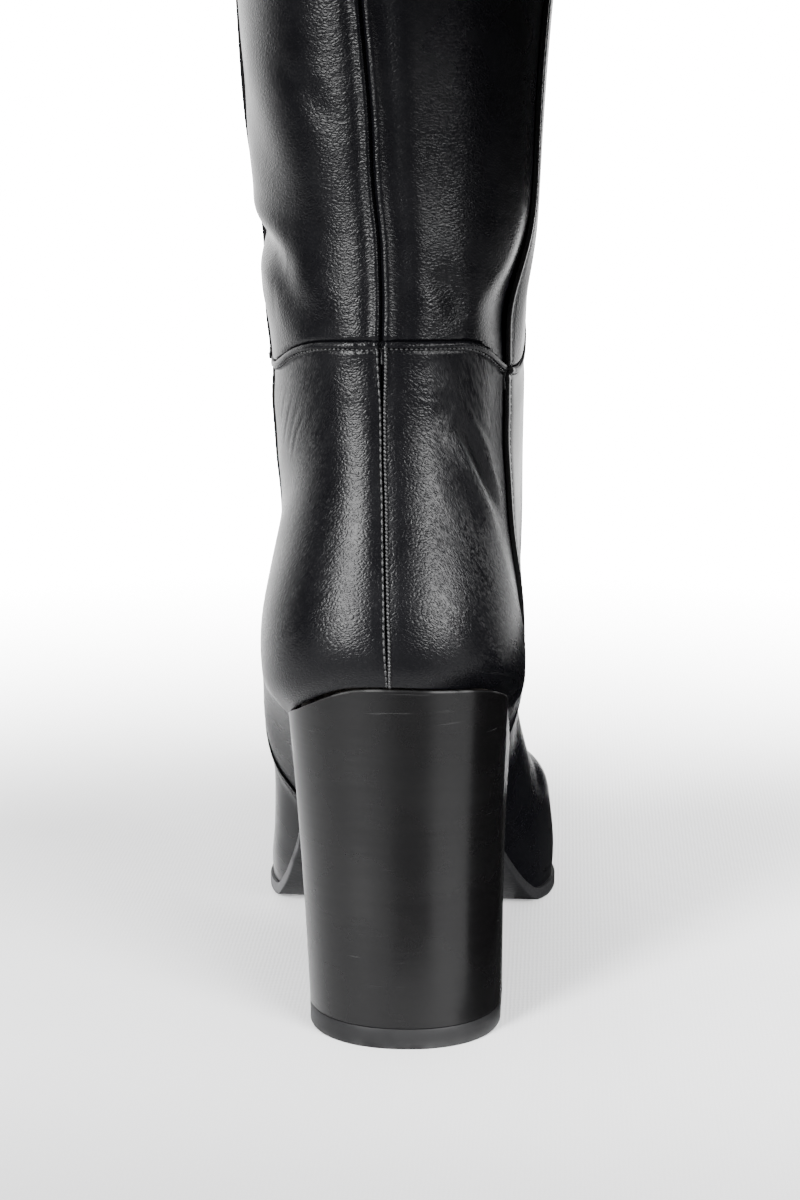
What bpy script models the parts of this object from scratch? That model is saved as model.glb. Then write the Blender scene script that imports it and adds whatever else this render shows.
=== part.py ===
"""Left over-the-knee boot: block heel, leather sole, foot upper and a tall leather shaft.

The heel's flat underside stands on z = 0 with its centre at the origin. +Y runs to the toe, +Z up the
leg, and +X is the inner side of the left foot. Driving sizes are metres; the tables are millimetres.
"""

import math
from collections import namedtuple

import bmesh
import bpy
import numpy as np

# ---------------------------------------------------------------- driving sizes
SOLE_LENGTH = 0.231     # feather edge, back of the heel to the toe tip
BALL_WIDTH = 0.089      # feather edge across the ball
SEAT_HEIGHT = 0.102     # floor to the back of the heel seat
SHAFT_HEIGHT = 0.640    # floor to the top of the shaft
WALL = 0.0020           # leather and lining together
GAP = 0.0003            # clearance between pieces that meet
OUTSOLE_THICKNESS = 0.0040
SHANK_THICKNESS = 0.0030
OUTSOLE_PROUD = 0.0012  # the outsole's edge stands out past the feather line at the forefoot
TOP_PIECE_THICKNESS = 0.0060
INSOLE_THICKNESS = 0.0022
LASTING_MARGIN = 0.009  # upper turned in under the insole
SHAFT_TUCK = 0.008      # the shaft reaches this far down inside the upper
SEAM_STEP = 0.005       # height above the ankle seam where the shaft has stepped out again
INSOLE_CLEARANCE = 0.0010
INSOLE_LIFT = 0.0009    # clears the lasting margin, which bridges the curve of the ball in flat facets
EDGE_BEVEL = 0.0008     # small bevel round the outsole's lower edge
MERGE = 0.00001         # points nearer than this are one point
SHARP_ANGLE = math.radians(40)

# Metres for one millimetre of the tables, which describe a last of 231 x 89 x 102 under a 640 shaft.
LONG = SOLE_LENGTH / 231
WIDE = BALL_WIDTH / 89
HIGH = SEAT_HEIGHT / 102
TALL = SHAFT_HEIGHT / 640

HALF_COLUMNS = 28       # columns on each side of a ring, back to front
SOLE_COLUMNS = 44
HEEL_COLUMNS = 14
SECTION_STEPS = 2       # rings made for each section of the upper
LONGEST_STRETCH = 25    # table rows of the shaft further apart than this get a ring between them

# ---------------------------------------------------------------- tables
SolePoint = namedtuple("SolePoint", "y z")
SOLE_LINE = [           # the feather line from the side: seat, arch, ball and toe spring
    SolePoint(-32, 104.0),
    SolePoint(-27.5, 102.0),
    SolePoint(0, 90.5),
    SolePoint(28, 72.5),
    SolePoint(52, 50.5),
    SolePoint(77, 26.0),
    SolePoint(90, 14.0),
    SolePoint(99, 7.6),
    SolePoint(108, 4.6),
    SolePoint(116, 4.3),
    SolePoint(146, 4.3),
    SolePoint(156, 4.7),
    SolePoint(172, 6.6),
    SolePoint(190, 10.2),
    SolePoint(204, 14.0),
    SolePoint(208, 15.2),
]

# The upper is cut into rings, each a slice from the back of the heel to the vamp. follow is how far a
# slice bends with the sole line between its ends. Each end is rounded off over a length, as part of a
# superellipse; the front's fullness falls below 2 where it is pointed.
Slice = namedtuple("Slice", "back_y back_z front_y front_z follow back_x front_x back_len front_len front_n")
SLICES = {
    "feather": Slice(-27.5, 102.0, 203.5, 13.8, 1.00, -1.6, -2.0, 30, 95, 1.80),
    "welt": Slice(-30.0, 106.5, 205.5, 18.5, 1.00, -1.6, -2.0, 33, 95, 1.84),
    "bulge": Slice(-31.5, 115.0, 206.0, 25.5, 1.00, -1.8, -2.0, 35, 94, 1.88),
    "counter": Slice(-29.8, 129.0, 197.0, 33.5, 1.00, -2.2, -2.0, 37, 88, 1.88),
    "toe_cap": Slice(-26.8, 142.0, 168.0, 39.0, 1.00, -2.6, -2.0, 39, 70, 1.90),
    "vamp": Slice(-24.4, 153.0, 140.0, 48.0, 1.00, -2.9, -1.8, 40, 62, 1.90),
    "instep": Slice(-23.0, 162.0, 114.0, 65.0, 1.00, -3.2, -1.5, 41, 58, 1.92),
    "throat": Slice(-22.7, 170.0, 91.0, 95.0, 0.70, -3.3, -1.2, 42, 54, 1.95),
    "ankle": Slice(-23.0, 178.0, 74.5, 128.0, 0.40, -3.4, -1.0, 43, 48, 2.00),
    "collar": Slice(-23.5, 186.0, 64.5, 162.0, 0.15, -3.5, -1.0, 43, 44, 2.05),
    "seam": Slice(-24.0, 193.0, 62.0, 205.0, 0.00, -3.6, -1.0, 43, 43, 2.10),
}
BACK_N = 2.15

# How far each ring reaches to the outer and the inner side at four stations along the foot. Past the
# ball the sides spread a little more, and the toe's rounding draws them in.
STATIONS = (2, 34, 60, 108)
Reach = namedtuple("Reach", "heel arch waist ball")
TREAD_Y = 135
TREAD_SPREAD = 1.01
OUTER = {
    "feather": Reach(-30.7, -32.2, -32.4, -48.4),
    "welt": Reach(-35.6, -38.8, -38.0, -48.8),
    "bulge": Reach(-38.4, -41.0, -41.4, -48.4),
    "counter": Reach(-38.4, -40.8, -41.0, -46.8),
    "toe_cap": Reach(-36.4, -39.0, -38.8, -44.2),
    "vamp": Reach(-34.4, -36.4, -37.0, -38.0),
    "instep": Reach(-33.2, -34.8, -35.4, -31.0),
    "throat": Reach(-34.4, -34.8, -34.6, -28.0),
    "ankle": Reach(-35.2, -35.2, -34.6, -30.0),
    "collar": Reach(-35.8, -35.6, -35.0, -33.0),
    "seam": Reach(-36.2, -36.0, -35.6, -34.0),
}
INNER = {
    "feather": Reach(27.7, 23.0, 21.5, 40.5),
    "welt": Reach(31.8, 27.4, 25.8, 41.0),
    "bulge": Reach(34.0, 31.0, 29.4, 41.2),
    "counter": Reach(33.6, 31.6, 31.2, 40.4),
    "toe_cap": Reach(32.6, 31.4, 30.4, 39.0),
    "vamp": Reach(32.0, 31.2, 29.4, 34.4),
    "instep": Reach(32.0, 31.4, 30.6, 29.0),
    "throat": Reach(32.0, 32.0, 31.8, 27.0),
    "ankle": Reach(32.2, 32.2, 32.0, 28.0),
    "collar": Reach(32.4, 32.4, 32.2, 31.0),
    "seam": Reach(32.6, 32.6, 32.6, 32.0),
}
SEAM_DIP = 14.0         # the ankle seam sinks this far towards the side seams
SEAM_DIP_Y = 6
SEAM_DIP_SPAN = 21.0
COLLAR_SHARE = 0.35     # share of that dip which the ring below the seam follows

# One level ring of the shaft. fade is how much of the ankle seam's dip it still follows.
ShaftRing = namedtuple("ShaftRing", "z fade back_y front_y outer inner back_x front_x")
SHAFT_RINGS = [
    ShaftRing(206, 0.80, -24.4, 62.8, -38.6, 33.0, -3.4, -1.0),
    ShaftRing(213, 0.45, -24.8, 63.2, -37.2, 34.4, -3.6, -1.0),
    ShaftRing(219, 0.25, -25.0, 63.4, -34.8, 35.6, -3.8, -1.0),
    ShaftRing(232, 0.05, -26.0, 63.8, -39.4, 36.2, -4.4, -1.2),
    ShaftRing(247, 0.0, -27.8, 64.4, -43.0, 36.8, -5.1, -1.5),
    ShaftRing(279, 0.0, -31.5, 65.5, -43.6, 39.0, -7.0, -2.0),
    ShaftRing(330, 0.0, -38.5, 67.5, -48.0, 44.4, -7.8, -2.5),
    ShaftRing(390, 0.0, -45.0, 70.0, -54.0, 50.6, -7.6, -2.6),
    ShaftRing(450, 0.0, -44.5, 72.0, -55.5, 52.0, -6.6, -2.4),
    ShaftRing(510, 0.0, -43.0, 73.5, -55.5, 52.5, -5.6, -2.2),
    ShaftRing(570, 0.0, -46.5, 76.0, -58.5, 55.5, -4.6, -2.0),
    ShaftRing(640, 0.0, -54.0, 80.5, -64.0, 61.0, -3.6, -2.0),
]
SHAFT_N = 2.15

# One D-shaped ring of the heel: up is 0 over the top piece and 1 at the seat.
HeelRing = namedtuple("HeelRing", "up back_y breast_y outer inner")
HEEL_RINGS = [
    HeelRing(0.0, -24.2, 22.0, -26.4, 26.4),
    HeelRing(0.4, -24.4, 23.2, -27.4, 26.3),
    HeelRing(0.75, -25.6, 25.4, -29.2, 26.8),
    HeelRing(1.0, -27.3, 27.6, -30.8, 27.7),
]
HEEL_BACK_LEN = 25
HEEL_N = 2.15
OUTSOLE_BACK_Y = 28.4   # the outsole butts against the heel's breast
BALL_Y = 108


# ---------------------------------------------------------------- curves
def through(xs, ys, at):
    """The smooth curve through (xs, ys), read at `at`. ys may hold numbers or whole rings of points."""
    xs = np.asarray(xs, float)
    ys = np.asarray(ys, float)
    at = np.clip(np.asarray(at, float), xs[0], xs[-1])
    column = (-1,) + (1,) * (ys.ndim - 1)
    step = np.diff(xs).reshape(column)
    secant = np.diff(ys, axis=0) / step
    slope = np.empty_like(ys)
    slope[0] = secant[0]
    slope[-1] = secant[-1]
    slope[1:-1] = (secant[:-1] * step[1:] + secant[1:] * step[:-1]) / (step[:-1] + step[1:])
    left = np.clip(np.searchsorted(xs, at, side="right") - 1, 0, len(xs) - 2)
    width = (xs[left + 1] - xs[left]).reshape(column)
    s = (at - xs[left]).reshape(column) / width
    shape = at.shape + ys.shape[1:]
    curve = (
        (2 * s**3 - 3 * s**2 + 1) * ys[left].reshape(shape_of(s, ys))
        + (s**3 - 2 * s**2 + s) * width * slope[left].reshape(shape_of(s, ys))
        + (3 * s**2 - 2 * s**3) * ys[left + 1].reshape(shape_of(s, ys))
        + (s**3 - s**2) * width * slope[left + 1].reshape(shape_of(s, ys))
    )
    return curve.reshape(shape)


def shape_of(s, ys):
    return (len(s),) + ys.shape[1:]


def sole_height(y):
    """Height of the feather line, in table millimetres. Under the ball it is level over a flat outsole."""
    tread = (OUTSOLE_THICKNESS + GAP) / HIGH
    return np.maximum(through([p.y for p in SOLE_LINE], [p.z for p in SOLE_LINE], y), tread)


def rounded_end(distance, length, n):
    """Grows from 0 at a ring's end to 1 at `length` from it, as a superellipse does."""
    v = np.clip(1 - distance / length, 0, 1)
    return (1 - v**n) ** (1 / n)


def side_reach(row, y):
    """How far a ring reaches to one side at the stations y, before its ends are rounded off."""
    return through(STATIONS + (TREAD_Y,), row + (row.ball * TREAD_SPREAD,), y)


def along_ring(back_y, front_y, columns):
    """Stations from back to front, close together at both ends."""
    u = np.linspace(0, 1, columns + 1)
    return back_y + (front_y - back_y) * (1 - np.cos(math.pi * u)) / 2


def closed_ring(outer, inner):
    """One loop of points: forward along the inner side, then back along the outer side."""
    return np.concatenate([inner, outer[-2:0:-1]])


def foot_ring(name, inset=0.0):
    """The points of one ring of the foot, in table millimetres, drawn in by `inset` if given."""
    row = SLICES[name]
    y = along_ring(row.back_y + inset, row.front_y - inset, HALF_COLUMNS)
    share = (y - y[0]) / (y[-1] - y[0])
    straight = row.back_z + (row.front_z - row.back_z) * share
    back_rise = row.back_z - sole_height(row.back_y)
    front_rise = row.front_z - sole_height(row.front_y)
    followed = sole_height(y) + back_rise + (front_rise - back_rise) * share
    z = straight + (followed - straight) * row.follow
    middle = row.back_x + (row.front_x - row.back_x) * share
    ends = rounded_end(y - y[0], row.back_len, BACK_N) * rounded_end(y[-1] - y, row.front_len, row.front_n)
    outer = middle + (side_reach(OUTER[name], y) + inset - middle) * ends
    inner = middle + (side_reach(INNER[name], y) - inset - middle) * ends
    return closed_ring(np.stack([outer, y, z], axis=1), np.stack([inner, y, z], axis=1))


def seam_dip(y):
    """How far the ankle seam sinks at y, in table millimetres."""
    return SEAM_DIP * np.exp(-(((y - SEAM_DIP_Y) / SEAM_DIP_SPAN) ** 2))


def foot_rings():
    """Every ring of the upper's outer face, feather edge to ankle seam, in metres."""
    rings = [foot_ring(name) for name in SLICES]
    rings[-1][:, 2] -= seam_dip(rings[-1][:, 1])
    rings[-2][:, 2] -= seam_dip(rings[-2][:, 1]) * COLLAR_SHARE
    steps = np.linspace(0, len(rings) - 1, SECTION_STEPS * (len(rings) - 1) + 1)
    return through(range(len(rings)), rings, steps) * [WIDE, LONG, HIGH]


def shaft_rows():
    """The shaft's table rows, with a row read from the curve between any two that lie far apart."""
    heights = [row.z for row in SHAFT_RINGS]
    levels = list(heights)
    for low, high in zip(heights, heights[1:]):
        if high - low > LONGEST_STRETCH:
            levels.append((low + high) / 2)
    return [ShaftRing(*values) for values in through(heights, SHAFT_RINGS, sorted(levels))]


def shaft_ring(row, seam):
    """One ring of the shaft's outer face, in metres."""
    y = along_ring(row.back_y, row.front_y, HALF_COLUMNS)
    half = (row.front_y - row.back_y) / 2
    ends = rounded_end(y - row.back_y, half, SHAFT_N) * rounded_end(row.front_y - y, half, SHAFT_N)
    middle = row.back_x + (row.front_x - row.back_x) * (y - row.back_y) / (row.front_y - row.back_y)
    level = np.full_like(y, row.z)
    outer = np.stack([middle + (row.outer - middle) * ends, y, level], axis=1)
    inner = np.stack([middle + (row.inner - middle) * ends, y, level], axis=1)
    ring = closed_ring(outer, inner) * [WIDE, LONG, TALL]
    ring[:, 2] += row.fade * (seam[:, 2] - seam[:, 2].mean())
    return ring


# ---------------------------------------------------------------- shells
def outward(rings):
    """Unit normals of a tube of rings, pointing away from its inside."""
    around = np.roll(rings, -1, axis=1) - np.roll(rings, 1, axis=1)
    up = np.gradient(rings, axis=0)
    normal = np.cross(around, up)
    return normal / np.linalg.norm(normal, axis=2, keepdims=True)


def thinned(rings, depth):
    """The same tube, moved in by `depth` along its normals."""
    return rings - outward(rings) * depth


def make_object(name, verts, faces, color, roughness, coat=0.0):
    """An object from points and faces, with its own material, shaded smooth except at its edges."""
    mesh = bpy.data.meshes.new(name)
    mesh.from_pydata([tuple(v) for v in verts], [], faces)
    bm = bmesh.new()
    bm.from_mesh(mesh)
    bmesh.ops.remove_doubles(bm, verts=bm.verts, dist=MERGE)
    bmesh.ops.triangulate(bm, faces=bm.faces)
    bmesh.ops.recalc_face_normals(bm, faces=bm.faces)
    bm.to_mesh(mesh)
    bm.free()
    mesh.shade_smooth()
    mesh.set_sharp_from_angle(angle=SHARP_ANGLE)
    material = bpy.data.materials.new(name)
    material.use_nodes = True
    shader = material.node_tree.nodes["Principled BSDF"]
    shader.inputs["Base Color"].default_value = (*color, 1.0)
    shader.inputs["Roughness"].default_value = roughness
    shader.inputs["Metallic"].default_value = 0.0
    shader.inputs["Coat Weight"].default_value = coat
    mesh.materials.append(material)
    piece = bpy.data.objects.new(name, mesh)
    bpy.context.scene.collection.objects.link(piece)
    return piece


def make_wall(name, profile, **finish):
    """A solid from rings whose profile closes on itself: out along one face and back along the other."""
    verts = profile.reshape(-1, 3)
    rows = len(profile)
    columns = profile.shape[1]
    faces = []
    for row in range(rows):
        for column in range(columns):
            right = (column + 1) % columns
            above = (row + 1) % rows
            faces.append((
                row * columns + column,
                row * columns + right,
                above * columns + right,
                above * columns + column,
            ))
    return make_object(name, verts, faces, **finish)


def make_slab(name, levels, **finish):
    """A solid from levels of paired points. A level holds the outer and the inner edge, back to front.

    The first and last levels are closed straight across from edge to edge.
    """
    count = len(levels[0][0])
    loops = [np.concatenate([outer, inner[::-1]]) for outer, inner in levels]
    size = 2 * count
    verts = np.concatenate(loops)
    faces = []
    for level in range(len(loops) - 1):
        for corner in range(size):
            after = (corner + 1) % size
            base = level * size
            faces.append((base + corner, base + after, base + size + after, base + size + corner))
    for base in (0, (len(loops) - 1) * size):
        for station in range(count - 1):
            across = size - 1 - station
            faces.append((base + station, base + station + 1, base + across - 1, base + across))
    return make_object(name, verts, faces, **finish)


# ---------------------------------------------------------------- pieces
LEATHER = {"color": (0.012, 0.012, 0.014), "roughness": 0.42}


def upper(outside):
    """The foot upper: open at the ankle and underneath, with its lasting margin turned in."""
    margin = foot_ring("feather", LASTING_MARGIN / LONG) * [WIDE, LONG, HIGH]
    corner = foot_ring("feather", WALL / LONG) * [WIDE, LONG, HIGH]
    lift = np.array([0, 0, WALL])
    inside = thinned(outside, WALL)
    profile = np.concatenate([
        margin[None],
        outside,
        inside[:0:-1],
        corner[None] + lift,
        margin[None] + lift,
    ])
    return make_wall("upper", profile, **LEATHER)


def shaft(foot_outside):
    """The leg tube: tucked inside the upper at the ankle, open at both ends."""
    seam = foot_outside[-1]
    lining = thinned(foot_outside, WALL + GAP)
    low = follow_down(lining, SHAFT_TUCK)
    tucked = lining[-1] + [0, 0, GAP]
    step_out = seam + [0, 0, SEAM_STEP]
    rings = [low, tucked, step_out] + [shaft_ring(row, seam) for row in shaft_rows()]
    outside = np.array(rings)
    profile = np.concatenate([outside, thinned(outside, WALL)[::-1]])
    return make_wall("shaft", profile, **LEATHER)


def follow_down(rings, distance):
    """Points `distance` below the last ring, measured down each column of the tube."""
    low = np.empty_like(rings[-1])
    for column in range(rings.shape[1]):
        line = rings[::-1, column]
        travelled = np.concatenate([[0], np.cumsum(np.linalg.norm(np.diff(line, axis=0), axis=1))])
        for axis in range(3):
            low[column, axis] = np.interp(distance, travelled, line[:, axis])
    return low


def edge_pair(y, outer, inner, height):
    """A slab level: the outer and the inner edge at the stations y, in metres."""
    scale = np.array([WIDE, LONG, 1.0])
    left = np.stack([outer, y, np.zeros_like(y)], axis=1) * scale
    right = np.stack([inner, y, np.zeros_like(y)], axis=1) * scale
    left[:, 2] = height
    right[:, 2] = height
    return left, right


def sole_edges(back_y, front_y, grow):
    """Stations and edges of a piece shaped like the feather line, let out by `grow` millimetres."""
    row = SLICES["feather"]
    y = along_ring(back_y, front_y + grow, SOLE_COLUMNS)
    share = (y - row.back_y) / (row.front_y - row.back_y)
    middle = row.back_x + (row.front_x - row.back_x) * share
    ends = rounded_end(row.front_y + grow - y, row.front_len, row.front_n)
    ends = ends * rounded_end(y - row.back_y + grow, row.back_len, BACK_N)
    outer = middle + (side_reach(OUTER["feather"], y) - grow - middle) * ends
    inner = middle + (side_reach(INNER["feather"], y) + grow - middle) * ends
    return y, outer, inner


def outsole():
    """Thin leather sole from the heel's breast to the toe, flat on the floor under the ball."""
    front_y = SLICES["feather"].front_y
    proud = OUTSOLE_PROUD / LONG
    levels = []
    for inset, rise in ((EDGE_BEVEL, 0.0), (0.0, EDGE_BEVEL)):
        y, outer, inner = sole_edges(OUTSOLE_BACK_Y, front_y, proud - inset / LONG)
        to_ball = np.clip((y - OUTSOLE_BACK_Y) / (BALL_Y - OUTSOLE_BACK_Y), 0, 1)
        thick = SHANK_THICKNESS + (OUTSOLE_THICKNESS - SHANK_THICKNESS) * to_ball
        levels.append(edge_pair(y, outer, inner, sole_height(y) * HIGH - GAP - thick + rise))
    levels.append(edge_pair(y, outer, inner, sole_height(y) * HIGH - GAP))
    return make_slab("outsole", levels, color=(0.03, 0.03, 0.032), roughness=0.55)


def insole():
    """Insole board lying on the turned-in lasting margin, from the seat to the toe."""
    row = SLICES["feather"]
    inset = (WALL + INSOLE_CLEARANCE) / LONG
    y, outer, inner = sole_edges(row.back_y + inset, row.front_y, -inset)
    under = sole_height(y) * HIGH + WALL + INSOLE_LIFT
    levels = [edge_pair(y, outer, inner, under), edge_pair(y, outer, inner, under + INSOLE_THICKNESS)]
    return make_slab("insole", levels, color=(0.05, 0.045, 0.04), roughness=0.7)


def heel_outline(row):
    """Stations and edges of a D-shaped section of the heel: round at the back, straight at the breast."""
    y = along_ring(row.back_y, 2 * row.breast_y - row.back_y, 2 * HEEL_COLUMNS)[: HEEL_COLUMNS + 1]
    middle = (row.outer + row.inner) / 2
    ends = rounded_end(y - row.back_y, HEEL_BACK_LEN, HEEL_N)
    return y, middle + (row.outer - middle) * ends, middle + (row.inner - middle) * ends


def heel_block():
    """Stacked block heel whose seat slopes with the upper's feather line."""
    bottom = TOP_PIECE_THICKNESS + GAP
    levels = []
    for row in HEEL_RINGS:
        y, outer, inner = heel_outline(row)
        seat = sole_height(y) * HIGH - GAP
        levels.append(edge_pair(y, outer, inner, bottom + (seat - bottom) * row.up))
    return make_slab("heel_block", levels, color=(0.014, 0.013, 0.014), roughness=0.3, coat=0.3)


def heel_top_piece():
    """Rubber top piece under the heel block, flat on the floor."""
    edges = heel_outline(HEEL_RINGS[0])
    levels = [edge_pair(*edges, 0.0), edge_pair(*edges, TOP_PIECE_THICKNESS)]
    return make_slab("heel_top_piece", levels, color=(0.02, 0.02, 0.02), roughness=0.7)


def main():
    for old in list(bpy.data.objects):
        bpy.data.objects.remove(old, do_unlink=True)
    outside = foot_rings()
    upper(outside)
    shaft(outside)
    insole()
    outsole()
    heel_block()
    heel_top_piece()


main()
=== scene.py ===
import math

import bpy
import numpy as np
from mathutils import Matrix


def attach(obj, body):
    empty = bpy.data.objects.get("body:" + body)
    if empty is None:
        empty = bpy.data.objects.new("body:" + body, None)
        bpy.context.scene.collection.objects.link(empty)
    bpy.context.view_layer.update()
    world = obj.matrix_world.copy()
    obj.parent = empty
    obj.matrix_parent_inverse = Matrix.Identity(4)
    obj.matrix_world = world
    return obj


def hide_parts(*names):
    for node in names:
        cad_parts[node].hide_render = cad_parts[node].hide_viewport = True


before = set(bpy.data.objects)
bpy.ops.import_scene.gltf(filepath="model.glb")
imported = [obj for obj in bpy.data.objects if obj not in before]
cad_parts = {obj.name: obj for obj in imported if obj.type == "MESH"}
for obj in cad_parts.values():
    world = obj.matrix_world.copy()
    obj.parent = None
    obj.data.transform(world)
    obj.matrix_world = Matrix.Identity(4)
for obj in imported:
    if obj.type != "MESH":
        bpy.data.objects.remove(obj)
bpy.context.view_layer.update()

# ---------------------------------------------------------------- studio
# A pale woven floor that fades into a white surround, a white wall beyond the boot and a white
# ceiling, and two tall softboxes behind the viewer. The camera looks a little down on the heel.
CAMERA_PLACE = (0.0427, -0.6878, 0.2793)
CAMERA_PITCH = math.radians(13.0)
CAMERA_TURN = math.radians(3.57)
CAMERA_LENS = 78.3

bpy.ops.object.select_all(action="DESELECT")
bpy.ops.object.camera_add(location=CAMERA_PLACE)
camera = bpy.context.object
camera.name = "viewer"
camera.rotation_euler = (math.pi / 2 - CAMERA_PITCH, 0.0, CAMERA_TURN)
camera.data.sensor_width = 36.0
camera.data.lens = CAMERA_LENS
camera.data.clip_start = 0.02
camera.data.clip_end = 20.0
bpy.context.scene.camera = camera


def add_node(tree, kind, inputs=None, **settings):
    """A shader node with its settings. An input is a plain value or the socket that feeds it."""
    made = tree.nodes.new(kind)
    for key, value in settings.items():
        setattr(made, key, value)
    for key, value in (inputs or {}).items():
        if isinstance(value, bpy.types.NodeSocket):
            tree.links.new(value, made.inputs[key])
        else:
            made.inputs[key].default_value = value
    return made


def calc(tree, operation, first, second=0.0):
    """One step of arithmetic on sockets or numbers."""
    return add_node(tree, "ShaderNodeMath", {0: first, 1: second}, operation=operation).outputs[0]


def ramp(tree, value, low, high, to_low=0.0, to_high=1.0):
    """A soft step from one value to another as `value` goes from low to high."""
    made = add_node(
        tree,
        "ShaderNodeMapRange",
        {"Value": value, "From Min": low, "From Max": high, "To Min": to_low, "To Max": to_high},
        interpolation_type="SMOOTHSTEP",
    )
    return made.outputs["Result"]


def mixed(tree, share, first, second):
    """A colour that goes from the first to the second with a share."""
    made = add_node(tree, "ShaderNodeMix", {"Factor": share, "A": first, "B": second}, data_type="RGBA")
    return made.outputs["Result"]


def noise(tree, place, scale, detail):
    """Cloudy noise from 0 to 1."""
    made = add_node(tree, "ShaderNodeTexNoise", {"Vector": place, "Scale": scale, "Detail": detail})
    return made.outputs["Fac"]


def own_place(tree):
    """The place on the object itself, in metres."""
    return add_node(tree, "ShaderNodeTexCoord").outputs["Object"]


def part_of(tree, vector, axis):
    """The X, Y or Z of a vector."""
    return add_node(tree, "ShaderNodeSeparateXYZ", {0: vector}).outputs[axis]


def start_material(name):
    """A new material, with its node tree and its shader."""
    material = bpy.data.materials.new(name)
    material.use_nodes = True
    return material, material.node_tree, material.node_tree.nodes["Principled BSDF"]


# Strengths of the lights. Matt surfaces get a smaller share of them than mirrored ones.
WALL_LIGHT = 4.4
TOP_LIGHT = 2.6
LEFT_BOX_LIGHT = 75.0
RIGHT_BOX_LIGHT = 58.0
FILL_LIGHT = 0.03
FILL_BEYOND = 0.35
DIFFUSE_SHARE = 0.31
NO_LIMIT = 1000.0
SURROUND_LIGHT = 22.0
# Windows in degrees: where each opens, how softly, where it closes, how softly. Turns count from
# straight behind the boot towards its inner side, rises from the level up.
DEGREES = 180 / math.pi
LEFT_BOX_TURN = (-39, 8, -31, 8)
LEFT_BOX_RISE = (-3, 8, 30, 26)
RIGHT_BOX_TURN = (35, 15, 55, 4)
RIGHT_BOX_RISE = (3, 7, 30, 26)
WALL_LEFT_FADE = (-130, -84)
WALL_RIGHT_FADE = (106, 126)
TOP_FADE = (38, 66)
FILL_FADE = (60, 100)
WHITE = (1.0, 1.0, 1.0, 1.0)

world = bpy.data.worlds.new("studio")
bpy.context.scene.world = world
world.use_nodes = True
sky = world.node_tree
sky.nodes.clear()
looking = add_node(sky, "ShaderNodeTexCoord").outputs["Generated"]
backwards = calc(sky, "MULTIPLY", part_of(sky, looking, "Y"), -1.0)
turn = calc(sky, "MULTIPLY", calc(sky, "ARCTAN2", part_of(sky, looking, "X"), backwards), DEGREES)
rise = calc(sky, "MULTIPLY", calc(sky, "ARCSINE", part_of(sky, looking, "Z")), DEGREES)


def window(value, low, low_soft, high, high_soft):
    """1 between low and high, fading to 0 over the given softness outside them."""
    opened = ramp(sky, value, low - low_soft, low)
    closed = ramp(sky, value, high, high + high_soft, 1.0, 0.0)
    return calc(sky, "MULTIPLY", opened, closed)


left_box = calc(sky, "MULTIPLY", window(turn, *LEFT_BOX_TURN), window(rise, *LEFT_BOX_RISE))
right_box = calc(sky, "MULTIPLY", window(turn, *RIGHT_BOX_TURN), window(rise, *RIGHT_BOX_RISE))
wall_left = ramp(sky, turn, *WALL_LEFT_FADE, 1.0, 0.0)
wall_right = ramp(sky, turn, *WALL_RIGHT_FADE)
wall = calc(sky, "ADD", wall_left, wall_right)
top = ramp(sky, rise, *TOP_FADE)
paths = add_node(sky, "ShaderNodeLightPath")
boxes = calc(sky, "MULTIPLY", left_box, LEFT_BOX_LIGHT)
boxes = calc(sky, "ADD", boxes, calc(sky, "MULTIPLY", right_box, RIGHT_BOX_LIGHT))
light_limit = ramp(sky, paths.outputs["Is Diffuse Ray"], 0.0, 1.0, NO_LIMIT, WALL_LIGHT)
light = calc(sky, "MAXIMUM", boxes, calc(sky, "MULTIPLY", wall, WALL_LIGHT))
light = calc(sky, "MAXIMUM", light, calc(sky, "MULTIPLY", top, TOP_LIGHT))
fill = ramp(sky, turn, *FILL_FADE, FILL_LIGHT, FILL_LIGHT * FILL_BEYOND)
light = calc(sky, "MAXIMUM", light, fill)
soft_share = ramp(sky, paths.outputs["Is Diffuse Ray"], 0.0, 1.0, 1.0, DIFFUSE_SHARE)
light = calc(sky, "MULTIPLY", calc(sky, "MINIMUM", light, light_limit), soft_share)
seen = paths.outputs["Is Camera Ray"]
lit = add_node(sky, "ShaderNodeBackground", {"Color": WHITE, "Strength": light})
plain = add_node(sky, "ShaderNodeBackground", {"Color": WHITE, "Strength": SURROUND_LIGHT})
chosen = add_node(sky, "ShaderNodeMixShader", {0: seen, 1: lit.outputs[0], 2: plain.outputs[0]})
add_node(sky, "ShaderNodeOutputWorld", {"Surface": chosen.outputs[0]})

# Cards that only reflections see: black ones beside the foot, beside the leg and between the leg and
# the right softbox, a grey one on the floor between the heel and the viewer, and a dark one on the
# floor along the foot's inner side. The two on the floor are painted shade: in reflections they make
# the floor look shaded there. Each: its tone, then its corners.
CARDS = {
    "card_foot": (0.002, [
        (0.066, -0.032, 0.002), (0.066, 0.40, 0.002), (0.066, 0.40, 0.104), (0.066, -0.032, 0.104),
    ]),
    "card_leg": (0.002, [
        (0.088, -0.04, 0.205), (0.088, 0.19, 0.205), (0.088, 0.19, 0.62), (0.088, -0.04, 0.62),
    ]),
    "card_front": (0.002, [
        (0.12, -0.46, 0.27), (0.42, -0.25, 0.27), (0.42, -0.25, 1.1), (0.12, -0.46, 1.1),
    ]),
    "card_floor": (0.18, [
        (-0.008, -0.08, 0.001), (0.040, -0.08, 0.001), (0.22, -0.45, 0.001), (-0.05, -0.45, 0.001),
    ]),
    "card_between": (0.02, [
        (0.030, -0.03, 0.0012), (0.068, -0.03, 0.0012), (0.068, 0.21, 0.0012), (0.030, 0.21, 0.0012),
    ]),
}
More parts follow.
